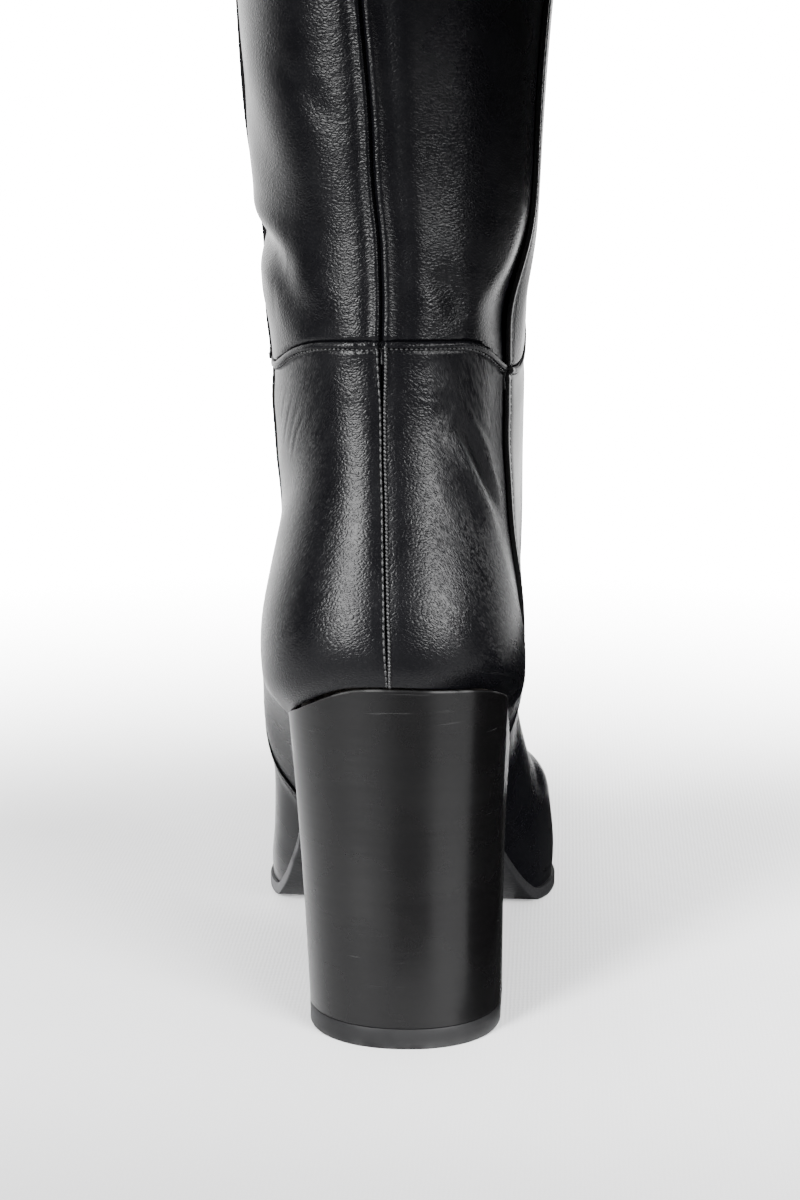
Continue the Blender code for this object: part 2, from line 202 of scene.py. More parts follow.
# Only this one keeps light off the boot.
SHADING_CARD = "card_front"
for name, (tone, corners) in CARDS.items():
    bpy.ops.mesh.primitive_plane_add(size=1.0)
    card = bpy.context.object
    card.name = name
    for vertex, place in zip(card.data.polygons[0].vertices, corners):
        card.data.vertices[vertex].co = place
    card.visible_camera = False
    card.visible_diffuse = False
    card.visible_shadow = name == SHADING_CARD
    card_paint, _, card_shader = start_material(name)
    card_shader.inputs["Base Color"].default_value = (tone, tone, tone, 1.0)
    card_shader.inputs["Specular IOR Level"].default_value = 0.0
    card.data.materials.append(card_paint)

FLOOR_RADIUS = 0.9
FLOOR_FADE = (0.20, 0.80)
PAPER_DARK = (0.80, 0.80, 0.81, 1.0)
PAPER_PALE = (0.88, 0.88, 0.885, 1.0)
# Painted shade: the paper darkens to this grey towards the viewer, between these two y.
PAPER_SHADED = (0.52, 0.52, 0.525, 1.0)
PAPER_SHADE_EDGE = (-0.16, -0.02)
WEAVE_SCALE = 260.0

bpy.ops.mesh.primitive_circle_add(vertices=96, radius=FLOOR_RADIUS, fill_type="NGON")
floor = bpy.context.object
floor.name = "floor"
floor_paper, paper, paper_shader = start_material("floor_weave")
paper_place = own_place(paper)
paper_radius = add_node(paper, "ShaderNodeVectorMath", {0: paper_place}, operation="LENGTH").outputs["Value"]
weave_ways = []
for direction in "XY":
    weave_look = {"Vector": paper_place, "Scale": WEAVE_SCALE, "Distortion": 1.5, "Detail": 1.0}
    threads = add_node(paper, "ShaderNodeTexWave", weave_look, bands_direction=direction)
    weave_ways.append(threads.outputs["Fac"])
weave = calc(paper, "ADD", *weave_ways)
paper_tone = mixed(paper, noise(paper, paper_place, 9.0, 6.0), PAPER_DARK, PAPER_PALE)
paper_bump = add_node(paper, "ShaderNodeBump", {"Height": weave, "Strength": 0.12, "Distance": 0.0002})
# Painted shade: darker paper towards the viewer.
paper_lit = ramp(paper, part_of(paper, paper_place, "Y"), *PAPER_SHADE_EDGE)
paper_shade = mixed(paper, paper_lit, PAPER_SHADED, paper_tone)
paper.links.new(paper_shade, paper_shader.inputs["Base Color"])
paper.links.new(paper_bump.outputs["Normal"], paper_shader.inputs["Normal"])
paper_shader.inputs["Roughness"].default_value = 0.75
paper_shader.inputs["Specular IOR Level"].default_value = 0.25
faded = ramp(paper, paper_radius, *FLOOR_FADE)
clear = add_node(paper, "ShaderNodeBsdfTransparent")
paper_mix = add_node(
    paper, "ShaderNodeMixShader", {0: faded, 1: paper_shader.outputs["BSDF"], 2: clear.outputs[0]}
)
paper.links.new(paper_mix.outputs[0], paper.nodes["Material Output"].inputs["Surface"])
floor.data.materials.append(floor_paper)


# ---------------------------------------------------------------- lining of foot and leg
# The soft leather bag inside the boot, glued over the last before the outer panels go on. The last's
# sections are set out here, because every panel after this one is pulled over the same form.
MM = 0.001
OUTER_SIDE = -1
INNER_SIDE = 1
# Each row is one slice, in millimetres: back y and z, front y and z, how far it follows the sole line,
# back and front x, the lengths over which its back and front are rounded, the front's fullness, its
# share of the ankle seam's dip, then the reach to the outer side at y 2, 34, 60 and 108, and the same
# to the inner side.
STATIONS = (-26, 2, 34, 60, 108, 135)
FOOT_SECTIONS = [
    (-27.5, 102.0, 203.5, 13.8, 1.00, -1.6, -2.0, 30, 95, 1.80, 0.0,
     -30.7, -32.2, -32.4, -47.4, 27.7, 23.0, 21.5, 40.5),
    (-30.0, 106.5, 205.5, 18.5, 1.00, -1.6, -2.0, 33, 95, 1.84, 0.0,
     -35.6, -38.8, -38.0, -47.8, 31.8, 27.4, 25.8, 41.0),
    (-31.5, 115.0, 206.0, 25.5, 1.00, -1.8, -2.0, 35, 94, 1.88, 0.0,
     -38.4, -41.0, -41.4, -47.6, 34.0, 31.0, 29.4, 41.2),
    (-29.8, 129.0, 197.0, 33.5, 1.00, -2.2, -2.0, 37, 88, 1.88, 0.0,
     -38.4, -40.8, -41.0, -46.2, 33.6, 31.6, 31.2, 40.4),
    (-26.8, 142.0, 168.0, 39.0, 1.00, -2.6, -2.0, 39, 70, 1.90, 0.0,
     -36.4, -39.0, -38.8, -44.2, 32.6, 31.4, 30.4, 39.0),
    (-24.4, 153.0, 140.0, 48.0, 1.00, -2.9, -1.8, 40, 62, 1.90, 0.0,
     -34.4, -36.4, -37.0, -38.0, 32.0, 31.2, 29.4, 34.4),
    (-23.4, 162.0, 114.0, 65.0, 1.00, -3.2, -1.5, 41, 58, 1.92, 0.0,
     -33.2, -34.8, -35.4, -31.0, 32.0, 31.4, 30.6, 29.0),
    (-22.7, 170.0, 91.0, 95.0, 0.70, -3.3, -1.2, 42, 54, 1.95, 0.0,
     -34.4, -34.8, -34.6, -28.0, 32.0, 32.0, 31.8, 27.0),
    (-22.6, 178.0, 74.5, 128.0, 0.40, -3.4, -1.0, 43, 48, 2.00, 0.05,
     -35.2, -35.2, -34.6, -30.0, 32.2, 32.2, 32.0, 28.0),
    (-23.2, 186.0, 64.5, 162.0, 0.15, -3.5, -1.0, 43, 44, 2.05, 0.35,
     -35.8, -35.6, -35.0, -33.0, 32.4, 32.4, 32.2, 31.0),
    (-24.0, 193.0, 62.0, 205.0, 0.00, -3.6, -1.0, 43, 43, 2.10, 1.0,
     -36.2, -36.0, -35.6, -34.0, 32.6, 32.6, 32.6, 32.0),
    (-24.1, 196.0, 62.2, 208.4, 0.00, -3.6, -1.0, 43, 43, 2.12, 0.97,
     -36.4, -36.3, -36.1, -35.0, 32.7, 32.7, 32.8, 32.4),
    (-24.2, 199.6, 62.4, 211.0, 0.00, -3.5, -1.0, 43, 43, 2.14, 0.92,
     -36.9, -36.8, -36.6, -36.0, 32.9, 32.9, 32.9, 32.7),
]
# The leg's slices are level: z, share of the seam's shape, back y, front y, outer, inner, back x, front x.
LEG_SECTIONS = [
    (206, 0.80, -24.4, 62.8, -37.6, 33.2, -3.4, -1.0),
    (213, 0.62, -24.8, 63.2, -38.0, 34.4, -3.6, -1.0),
    (219, 0.48, -25.1, 63.4, -38.5, 35.4, -3.8, -1.0),
    (232, 0.24, -26.0, 63.8, -40.4, 36.3, -5.1, -1.2),
    (247, 0.08, -27.8, 64.4, -42.2, 37.0, -5.7, -1.5),
    (279, 0.00, -31.5, 65.5, -44.0, 39.2, -8.0, -2.0),
    (330, 0.00, -38.5, 67.5, -48.0, 44.4, -8.9, -2.5),
    (390, 0.00, -45.0, 70.0, -54.0, 50.6, -9.4, -2.6),
    (450, 0.00, -44.5, 72.0, -55.5, 52.0, -8.0, -2.4),
    (510, 0.00, -43.0, 73.5, -55.5, 52.5, -6.5, -2.2),
    (570, 0.00, -46.5, 76.0, -58.5, 55.5, -5.2, -2.0),
    (640, 0.00, -54.0, 80.5, -64.0, 61.0, -3.6, -2.0),
]
# The feather line, where upper and sole meet: y and height over the floor.
SOLE_LINE = [
    (-32, 104), (-27.5, 102), (0, 90.5), (28, 72.5), (52, 50.2), (77, 22.2), (87, 11.8), (95, 6.0),
    (102, 4.6), (108, 4.35), (116, 4.3), (146, 4.3), (156, 4.7), (172, 6.6), (190, 10.2), (204, 14),
    (208, 15.2),
]
TREAD_HEIGHT = 4.3
ROUNDING = 2.15
SEAT = 102.0
ANKLE = 193.0
TOP = 640.0
# The ankle seam dips at the sides and rises to the front.
DIP = 14.0
DIP_Y = 6.0
DIP_SPAN = 21.0
BACK_DROP = 0.4
FRONT_RISE = 12.0
TREAD_SPREAD = 1.01
RING_STEPS = 600
SEARCH_START = 4
SEARCH_STEPS = 500


def spline(xs, ys, at):
    """The evenly bending curve through (xs, ys), read at `at`. ys may hold one or several columns."""
    xs = np.asarray(xs, float)
    ys = np.asarray(ys, float)
    flat = ys.ndim == 1
    if flat:
        ys = ys[:, None]
    gap = np.diff(xs)
    count = len(xs)
    system = np.eye(count)
    pull = np.zeros_like(ys)
    for i in range(1, count - 1):
        system[i, i - 1:i + 2] = gap[i - 1], 2 * (gap[i - 1] + gap[i]), gap[i]
        pull[i] = 6 * ((ys[i + 1] - ys[i]) / gap[i] - (ys[i] - ys[i - 1]) / gap[i - 1])
    bend = np.linalg.solve(system, pull)
    at = np.clip(np.atleast_1d(np.asarray(at, float)), xs[0], xs[-1])
    left = np.clip(np.searchsorted(xs, at, side="right") - 1, 0, count - 2)
    width = gap[left][:, None]
    before = xs[left + 1][:, None] - at[:, None]
    after = at[:, None] - xs[left][:, None]
    curve = (bend[left] * before**3 + bend[left + 1] * after**3) / (6 * width)
    curve += (ys[left] / width - bend[left] * width / 6) * before
    curve += (ys[left + 1] / width - bend[left + 1] * width / 6) * after
    return curve[:, 0] if flat else curve


def smooth_step(value, low, high):
    """0 below low, 1 above high, and a soft rise between them."""
    share = np.clip((value - low) / (high - low), 0, 1)
    return share * share * (3 - 2 * share)


def hump(value, centre, width):
    """A soft bump of height 1, falling off over width on both sides of centre."""
    return np.exp(-(((value - centre) / width) ** 2))


def sole_height(y):
    """Height of the feather line over the floor; level under the ball."""
    line = np.array(SOLE_LINE, float)
    secant = np.diff(line[:, 1]) / np.diff(line[:, 0])
    step = np.diff(line[:, 0])
    slope = np.concatenate([
        secant[:1],
        (secant[:-1] * step[1:] + secant[1:] * step[:-1]) / (step[:-1] + step[1:]),
        secant[-1:],
    ])
    y = np.clip(y, line[0, 0], line[-1, 0])
    left = np.clip(np.searchsorted(line[:, 0], y, side="right") - 1, 0, len(step) - 1)
    width = step[left]
    s = (y - line[left, 0]) / width
    curve = (2 * s**3 - 3 * s**2 + 1) * line[left, 1] + (s**3 - 2 * s**2 + s) * width * slope[left]
    curve += (3 * s**2 - 2 * s**3) * line[left + 1, 1] + (s**3 - s**2) * width * slope[left + 1]
    return np.maximum(curve, TREAD_HEIGHT)


def all_sections():
    """The foot's and the leg's slices as one table, from the sole up."""
    rows = [list(row) for row in FOOT_SECTIONS]
    for z, fade, back_y, front_y, outer, inner, back_x, front_x in LEG_SECTIONS:
        half = (front_y - back_y) / 2
        back_z = z - BACK_DROP * fade
        front_z = back_z + FRONT_RISE * fade
        rows.append(
            [back_y, back_z, front_y, front_z, 0, back_x, front_x, half, half, ROUNDING, fade]
            + [outer] * 4 + [inner] * 4
        )
    return np.array(rows, float)


SECTIONS = all_sections()


def rounded_end(distance, length, fullness):
    """Grows from 0 at a slice's end to 1 at `length` from it."""
    v = np.clip(1 - distance / length, 0, 1)
    return (1 - v**fullness) ** (1 / fullness)


def reach_at(reach, y):
    """How far a slice reaches to one side at each y, from its four given reaches."""
    return spline(STATIONS, [reach[0], *reach, reach[3] * TREAD_SPREAD], y)


def half_ring(row, side):
    """One side of a slice, from the middle of the back to the middle of the front."""
    back_y, back_z, front_y, front_z, follow, back_x, front_x, back_len, front_len, fullness, dip = row[:11]
    reach = row[11:15] if side == OUTER_SIDE else row[15:19]
    share = (1 - np.cos(np.linspace(0, math.pi, RING_STEPS))) / 2
    y = back_y + (front_y - back_y) * share
    straight = back_z + (front_z - back_z) * share
    back_rise = back_z - sole_height(np.array([back_y]))[0]
    front_rise = front_z - sole_height(np.array([front_y]))[0]
    followed = sole_height(y) + back_rise + (front_rise - back_rise) * share
    z = straight + (followed - straight) * follow - DIP * dip * hump(y, DIP_Y, DIP_SPAN)
    middle = back_x + (front_x - back_x) * share
    ends = rounded_end(y - back_y, back_len, ROUNDING) * rounded_end(front_y - y, front_len, fullness)
    return np.stack([middle + (reach_at(reach, y) - middle) * ends, y, z], axis=1)


def travelled(points):
    """Distance along a row of points."""
    return np.concatenate([[0], np.cumsum(np.linalg.norm(np.diff(points, axis=0), axis=1))])


class Ring:
    """A slice of the last, walked from the back seam: forward on the inner side is positive, on the
    outer side negative. It runs on past the front, so that a panel can cross it."""

    def __init__(self, height):
        row = spline(SECTIONS[:, 1], SECTIONS, height)[0]
        outer = half_ring(row, OUTER_SIDE)
        inner = half_ring(row, INNER_SIDE)
        outer_way = travelled(outer)
        inner_way = travelled(inner)
        self.outer_length = outer_way[-1]
        self.inner_length = inner_way[-1]
        self.points = np.concatenate([outer[:0:-1], inner, outer[-2::-1]])
        back_again = self.inner_length + self.outer_length - outer_way[-2::-1]
        self.way = np.concatenate([-outer_way[:0:-1], inner_way, back_again])

    def at(self, way):
        return np.stack([np.interp(way, self.way, self.points[:, axis]) for axis in range(3)], axis=-1)

    def seam_way(self, side, line):
        """Where a seam crosses this ring. line gives the seam's y at a height z."""
        length = self.inner_length if side == INNER_SIDE else self.outer_length
        way = np.linspace(SEARCH_START, length - 1, SEARCH_STEPS)
        points = self.at(way * side)
        past = points[:, 1] - spline(line[:, 0], line[:, 1], points[:, 2])
        first = int(np.argmax(past > 0))
        if first == 0:
            return way[0]
        share = past[first - 1] / (past[first - 1] - past[first])
        return way[first - 1] + (way[first] - way[first - 1]) * share


RINGS = {}


def ring_at(height):
    """The last's slice at a height, made once and kept."""
    key = round(float(height), 4)
    if key not in RINGS:
        RINGS[key] = Ring(key)
    return RINGS[key]


# The boot is far taller than it is wide, so height counts for little in telling outside from inside.
HEIGHT_COUNTS = 0.1


def grid_normals(points):
    """Unit normals of a grid of points, turned away from the middle of the boot."""
    across = np.gradient(points, axis=1)
    up = np.gradient(points, axis=0)
    normal = np.cross(across, up)
    size = np.linalg.norm(normal, axis=2, keepdims=True)
    normal = normal / np.maximum(size, 1e-9)
    middle = np.mean(points.reshape(-1, 3), axis=0)
    out = points - middle
    out[..., 2] *= HEIGHT_COUNTS
    return normal * (1 if np.sum(normal * out) > 0 else -1)


def set_material(piece, material):
    piece.data.materials.clear()
    piece.data.materials.append(material)


CHART_UNIT = 100.0
MERGE_UNDER = 0.000005
PANEL_CREASE_ANGLE = math.radians(40)


def pulled_grid(name, points):
    """A flat grid whose points are pulled to their places."""
    rows, columns = points.shape[:2]
    bpy.ops.object.select_all(action="DESELECT")
    bpy.ops.mesh.primitive_grid_add(x_subdivisions=columns - 1, y_subdivisions=rows - 1, size=2)
    piece = bpy.context.object
    piece.name = name
    piece.data.name = name
    piece.data.vertices.foreach_set("co", (points * MM).astype(np.float32).ravel())
    return piece


def sheet_of(name, points, thickness, chart=None, marks=None, around=False):
    """A panel: a grid pulled into place, given its thickness and shaded smooth."""
    rows, columns = points.shape[:2]
    piece = pulled_grid(name, points)
    mesh = piece.data
    corner = np.empty(len(mesh.loops), np.int32)
    mesh.loops.foreach_get("vertex_index", corner)
    if chart is not None:
        flat = (chart.reshape(-1, 2) / CHART_UNIT)[corner]
        mesh.uv_layers[0].name = "chart"
        mesh.uv_layers[0].data.foreach_set("uv", flat.astype(np.float32).ravel())
    for key, values in (marks or {}).items():
        layer = mesh.attributes.new(key, "FLOAT", "POINT")
        layer.data.foreach_set("value", np.asarray(values, np.float32).ravel())
    mesh.update()
    wanted = grid_normals(points)[rows // 2, columns // 2]
    centre = mesh.polygons[(rows // 2) * (columns - 1) + columns // 2]
    if np.dot(np.array(centre.normal), wanted) < 0:
        mesh.flip_normals()
    if around:
        bpy.ops.object.mode_set(mode="EDIT")
        bpy.ops.mesh.select_all(action="SELECT")
        bpy.ops.mesh.remove_doubles(threshold=MERGE_UNDER)
        bpy.ops.object.mode_set(mode="OBJECT")
    wall = piece.modifiers.new("thickness", "SOLIDIFY")
    wall.thickness = thickness * MM
    wall.offset = -1.0
    bpy.ops.object.modifier_apply(modifier=wall.name)
    bpy.ops.object.shade_smooth_by_angle(angle=PANEL_CREASE_ANGLE)
    return piece


def heights_between(low, high, *steps):
    """Row heights from low to high. Each step is (up to height, spacing)."""
    rows = [np.array([low])]
    start = low
    for end, spacing in steps:
        end = min(end, high)
        count = max(1, int(round((end - start) / spacing)))
        rows.append(np.linspace(start, end, count + 1)[1:])
        start = end
    return np.concatenate(rows)


def dress(shader, colour, roughness, specular, height, relief):
    """Finishes a leather's shader. The height runs from 0 to 1 and stands for a relief in metres."""
    tree = shader.id_data
    tree.links.new(colour, shader.inputs["Base Color"])
    tree.links.new(roughness, shader.inputs["Roughness"])
    shader.inputs["Specular IOR Level"].default_value = specular
    bump = add_node(tree, "ShaderNodeBump", {"Height": height, "Strength": 1.0, "Distance": relief})
    tree.links.new(bump.outputs["Normal"], shader.inputs["Normal"])


# Most of a cloudy noise lies between these two values.
CLOUD = (0.3, 0.7)
LINING_DARK = (0.034, 0.029, 0.025, 1.0)
LINING_PALE = (0.056, 0.049, 0.043, 1.0)
LINING_PORES = 1400.0
lining_leather, soft, soft_shader = start_material("lining_leather")
soft_place = own_place(soft)
soft_pores = add_node(soft, "ShaderNodeTexVoronoi", {"Vector": soft_place, "Scale": LINING_PORES})
soft_cloud = noise(soft, soft_place, 26.0, 5.0)
dress(
    soft_shader,
    colour=mixed(soft, soft_cloud, LINING_DARK, LINING_PALE),
    roughness=ramp(soft, soft_cloud, *CLOUD, 0.58, 0.72),
    specular=0.2,
    height=soft_pores.outputs["Distance"],
    relief=0.00008,
)

LINING_START = 104.0
LINING_BELOW_TOP = 2.0
LINING_COLUMNS = 121
LINING_THICKNESS = 0.7
LINING_DEPTH = 2.1
# It hangs a little away from the leather in the foot and joins it up the leg.
LINING_SLACK = 3.0
SLACK_ENDS = (240.0, 320.0)
lining_rows = heights_between(LINING_START, TOP - LINING_BELOW_TOP, (ANKLE, 4.0), (300.0, 6.0), (TOP, 12.0))
lining_points = []
for height in lining_rows:
    ring = ring_at(height)
    lining_points.append(ring.at(np.linspace(-ring.outer_length, ring.inner_length, LINING_COLUMNS)))
lining_points = np.array(lining_points)
lining_depth = LINING_DEPTH + LINING_SLACK * (1 - smooth_step(lining_points[..., 2], *SLACK_ENDS))
lining_points -= grid_normals(lining_points) * lining_depth[..., None]
lining_points[:, 0] = lining_points[:, -1]
lining = sheet_of("lining", lining_points, LINING_THICKNESS, around=True)
set_material(lining, lining_leather)
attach(lining, "root")
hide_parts("shaft")


# ---------------------------------------------------------------- quarters
# The two pieces round the heel, of one black grained leather. They meet in a closed seam down the
# back, and their folded top edge stands proud of the leg, with a row of stitches under it.
# The line of each side seam: height, then y.
SIDE_SEAMS = {
    OUTER_SIDE: np.array([
        (30, 68), (45, 57.5), (56, 50.5), (64, 45), (74, 37.5), (86, 31), (97, 27.5), (112, 25.5),
        (128, 23), (143, 19), (158, 13.5), (184, 12), (196, 13.5), (208, 18), (228, 20), (242, 16),
        (256, 12.5), (300, 12), (400, 13), (640, 15),
    ], float),
    INNER_SIDE: np.array([
        (30, 68), (45, 57.5), (56, 50.5), (64, 43), (74, 33), (83, 25), (95, 17), (110, 9), (130, 3),
        (150, 0.5), (184, -0.5), (193, 0), (203, 3), (213, 7), (223, 9), (240, 7.5), (260, 5),
        (300, 4.5), (400, 4.5), (640, 6),
    ], float),
}
UNDERLAP = 8.0
PANEL_THICKNESS = 0.45
# Profiles of the edges: how far each strip goes on past the edge, and how far in. A folded edge turns
# back inside, the deep one far enough to close on the leg, and the margin goes under the last.
FOLD_RADIUS = 0.75
FOLDED = [
    (FOLD_RADIUS * math.sin(math.radians(a)), FOLD_RADIUS * (1 - math.cos(math.radians(a))))
    for a in (25, 50, 75, 100, 125, 150, 180)
] + [(-2.0, 2 * FOLD_RADIUS), (-5.0, 2 * FOLD_RADIUS)]
FOLDED_DEEP = FOLDED[:-3] + [(0.0, 2.2), (-2.0, 3.0), (-5.0, 3.2)]
MARGIN = [(0.3, 0.6), (0.2, 2.0), (-0.4, 6.0)]
# Distances from the back seam, close together in its groove.
NEAR_SEAM = np.concatenate([np.arange(0.0, 1.5, 0.12), np.arange(1.5, 4.0, 0.3), np.arange(4.0, 13.0, 0.7)])


class Panel:
    """A piece of leather lying on the last: points, outward normals, its flat chart and its marks."""

    def __init__(self, heights, ways):
        self.points = np.array([ring_at(h).at(way) for h, way in zip(heights, ways)])
        self.normals = grid_normals(self.points)
        self.way = np.array(ways)
        rise = np.linalg.norm(np.diff(self.points, axis=0), axis=2)
        start = np.full((1, self.points.shape[1]), heights[0])
        self.up = np.concatenate([start, start + np.cumsum(rise, axis=0)])
        self.marks = {"cut": np.zeros_like(self.way), "crease": np.zeros_like(self.way)}

    def push(self, distance):
        """Moves the panel out by a distance that may vary, and settles its normals again."""
        self.points = self.points + self.normals * np.asarray(distance)[..., None]
        self.normals = grid_normals(self.points)

    def from_edge(self, edge):
        """Distance of every point from one edge of the panel, along its row or column."""
        axis = 0 if edge in ("top", "bottom") else 1
        step = np.linalg.norm(np.diff(self.points, axis=axis), axis=2)
        zero_shape = list(self.way.shape)
        zero_shape[axis] = 1
        zero = np.zeros(zero_shape)
        if edge in ("top", "far"):
            return np.concatenate([np.flip(np.cumsum(np.flip(step, axis), axis), axis), zero], axis)
        return np.concatenate([zero, np.cumsum(step, axis)], axis)

    def line(self, edge, depth):
        """Points and normals on the line that runs `depth` inside an edge."""
        gone = self.from_edge(edge)
        points, normals = self.points, self.normals
        if edge in ("near", "far"):
            gone, points, normals = gone.T, points.swapaxes(0, 1), normals.swapaxes(0, 1)
        if edge in ("top", "far"):
            gone, points, normals = gone[::-1], points[::-1], normals[::-1]
        found = []
        for column in range(gone.shape[1]):
            for values in (points, normals):
                found.append([np.interp(depth, gone[:, column], values[:, column, a]) for a in range(3)])
        found = np.array(found)
        facing = found[1::2]
        return found[::2], facing / np.linalg.norm(facing, axis=1, keepdims=True)

    def turn(self, edge, profile, mark=None):
        """Carries an edge on through a profile of (distance on, distance in)."""
        axis = 0 if edge in ("top", "bottom") else 1
        last = edge in ("top", "far")
        place, before = (-1, -2) if last else (0, 1)
        rim = np.take(self.points, [place], axis)
        onward = rim - np.take(self.points, [before], axis)
        onward /= np.maximum(np.linalg.norm(onward, axis=2, keepdims=True), 1e-9)
        facing = np.take(self.normals, [place], axis)

        def joined(old, strips):
            new = np.concatenate(strips, axis)
            return np.concatenate([old, new] if last else [np.flip(new, axis), old], axis)

        self.points = joined(self.points, [rim + onward * on - facing * inn for on, inn in profile])
        self.normals = joined(self.normals, [facing] * len(profile))
        gone = np.cumsum([abs(on) + inn for on, inn in profile])
        sign = 1 if last else -1
        way_rim = np.take(self.way, [place], axis)
        up_rim = np.take(self.up, [place], axis)
        across = sign * axis
        upwards = sign * (1 - axis)
        self.way = joined(self.way, [way_rim + across * g for g in gone])
        self.up = joined(self.up, [up_rim + upwards * g for g in gone])
        for key, values in self.marks.items():
            rim_value = np.take(values, [place], axis)
            if key == mark:
                rim_value = np.ones_like(rim_value)
            self.marks[key] = joined(values, [rim_value] * len(profile))

    def made(self, name, material, node):
        """The finished panel as a piece that stands for a node."""
        chart = np.stack([np.abs(self.way), self.up], 2)
        piece = sheet_of(name, self.points, PANEL_THICKNESS, chart, self.marks)
        set_material(piece, material)
        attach(piece, "root")
        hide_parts(node)
        return piece


# Creases, each a line of (way round from the back seam, height), its depth and its half width. Ways
# are negative on the outer side, and a negative depth is a bulge.
CREASES = [
    ([(-66, 221), (-52, 218), (-40, 215), (-31, 212)], 2.0, 4.0),
    ([(-64, 206), (-50, 204), (-38, 202)], -0.9, 6.0),
    ([(-40, 216), (-33, 209), (-27, 202.6), (-19, 198), (-12, 194.5)], 0.5, 4.5),
    ([(-60, 266), (-45, 246), (-31, 233), (-15, 219)], 0.8, 9.0),
    ([(14, 212), (19, 205), (21, 197)], 0.5, 3.5),
    ([(-26, 262), (-16, 256), (-9, 247)], 0.25, 3.0),
    ([(3, 180.4), (8, 180.8), (14, 179.6)], 0.09, 0.6),
    ([(9, 178.4), (15, 178.2), (22, 175.6)], 0.08, 0.6),
    ([(4, 176.2), (9, 176.5), (13, 175.4)], 0.06, 0.5),
    ([(17.5, 169), (22.5, 160), (27.5, 152), (33, 144)], -0.90, 3.0),
    ([(21.5, 171), (26.5, 163), (31.5, 155), (38, 146)], 1.35, 1.9),
    ([(23, 172.5), (28, 166), (35, 157)], 0.20, 0.8),
    ([(19, 166.5), (24, 160), (29, 152)], 0.18, 0.9),
    ([(26, 173), (31, 168), (37, 161)], 0.14, 0.7),
    ([(24, 159), (28, 153), (33, 148)], 0.16, 0.9),
    ([(-39, 163), (-34, 171), (-30, 176)], 0.14, 0.6),
    ([(-36, 161), (-31, 169), (-26, 176)], 0.12, 0.5),
    ([(-33, 160), (-29, 167), (-24, 173)], 0.14, 0.6),
    ([(-41, 168), (-37, 174), (-33, 179)], 0.10, 0.5),
]
# Places where bending has left the leather finely wrinkled: way, height, half widths, strength.
WORN_PATCHES = [
    (-10, 240, 9, 26, 0.7), (-12, 200, 12, 8, 0.7), (13, 200, 9, 7, 0.4),
    (-44, 214, 14, 14, 0.7), (26, 163, 9, 12, 0.2), (12, 177, 12, 4, 0.7), (-26, 171, 9, 9, 0.6),
    (92, 200, 40, 16, 0.6), (-92, 200, 40, 16, 0.6), (0, 420, 60, 60, 0.10),
]
# A crease's shoulders, as shares of its depth and width, how it runs out at its ends, and how far its
# wrinkles reach.
RUN_OUT = 0.03
RUN_OUT_POWER = 0.7
SHOULDER_SHARE = 0.32
SHOULDER_PLACE = 1.9
SHOULDER_WIDTH = 0.9
WRINKLE_REACH = 2.2
WRINKLE_MOST = 0.4
FAR_AWAY = 1e9


def crease_depth(way, z):
    """How deep the leather sinks at each point, and how creased it is there."""
    depth = np.zeros_like(way)
    worn = np.zeros_like(way)
    for line, deep, width in CREASES:
        line = np.array(line, float)
        piece = np.linalg.norm(np.diff(line, axis=0), axis=1)
        start = np.concatenate([[0], np.cumsum(piece)])
        nearest = np.full(way.shape, FAR_AWAY)
        share = np.zeros_like(way)
        for i in range(len(piece)):
            along = line[i + 1] - line[i]
            t = ((way - line[i, 0]) * along[0] + (z - line[i, 1]) * along[1]) / piece[i] ** 2
            t = np.clip(t, 0, 1)
            gap = np.hypot(way - line[i, 0] - t * along[0], z - line[i, 1] - t * along[1])
            closer = gap < nearest
            nearest = np.where(closer, gap, nearest)
            share = np.where(closer, (start[i] + t * piece[i]) / start[-1], share)
        inside = np.clip(share * (1 - 2 * RUN_OUT) + RUN_OUT, 0, 1)
        ends = np.clip(np.sin(math.pi * inside), 0, 1) ** RUN_OUT_POWER
        trough = hump(nearest, 0, width)
        shoulder = hump(nearest, SHOULDER_PLACE * width, SHOULDER_WIDTH * width)
        depth += deep * ends * (trough - SHOULDER_SHARE * shoulder)
        strength = min(WRINKLE_MOST, abs(deep))
        worn = np.maximum(worn, ends * hump(nearest, 0, WRINKLE_REACH * width) * strength)
    return depth, worn


def crease(panel):
    """The relief of a panel's creases. It also marks where the panel is creased."""
    depth, worn = crease_depth(panel.way, panel.points[..., 2])
    for way, z, wide, high, strength in WORN_PATCHES:
        patch = hump(panel.way, way, wide) * hump(panel.points[..., 2], z, high)
        worn = np.maximum(worn, strength * patch)
    panel.marks["crease"] = worn
    return -depth


BEFORE_LAP = np.array([3.2, 2.7, 2.3, 2.0, 1.75, 1.5, 1.25, 1.0, 0.7, 0.3, 0.0])


def back_columns(total, count):
    """Distances from the back seam, close together near it and at the lap, and even between."""
    hollow = total - UNDERLAP - BEFORE_LAP
    rest = np.linspace(NEAR_SEAM[-1], hollow[0], count)[1:-1]
    return np.concatenate([NEAR_SEAM, rest, hollow, [total - UNDERLAP / 2, total]])


def back_panel(heights, side, count):
    """A panel from the back seam round one side to under the edge of the front piece."""
    ways = []
    for height in heights:
        reach = ring_at(height).seam_way(side, SIDE_SEAMS[side]) + UNDERLAP
        ways.append(side * back_columns(reach, count))
    return Panel(heights, ways)


# The counter's back seam. It is shallow over the seat, and opens a little under the ankle edge.
SEAM_GROOVE = 1.10
SEAM_GROOVE_WIDTH = 0.23
SEAM_VALLEY = 0.40
SEAM_VALLEY_WIDTH = 2.7
SEAM_SHALLOW = 0.35
SEAM_DEEPENS = (106, 124)
SEAM_OPENING = 0.4
SEAM_OPENS = (174, 188)
SEAM_RIDGE = 0.50
SEAM_RIDGE_AT = 1.3
SEAM_RIDGE_WIDTH = 0.6


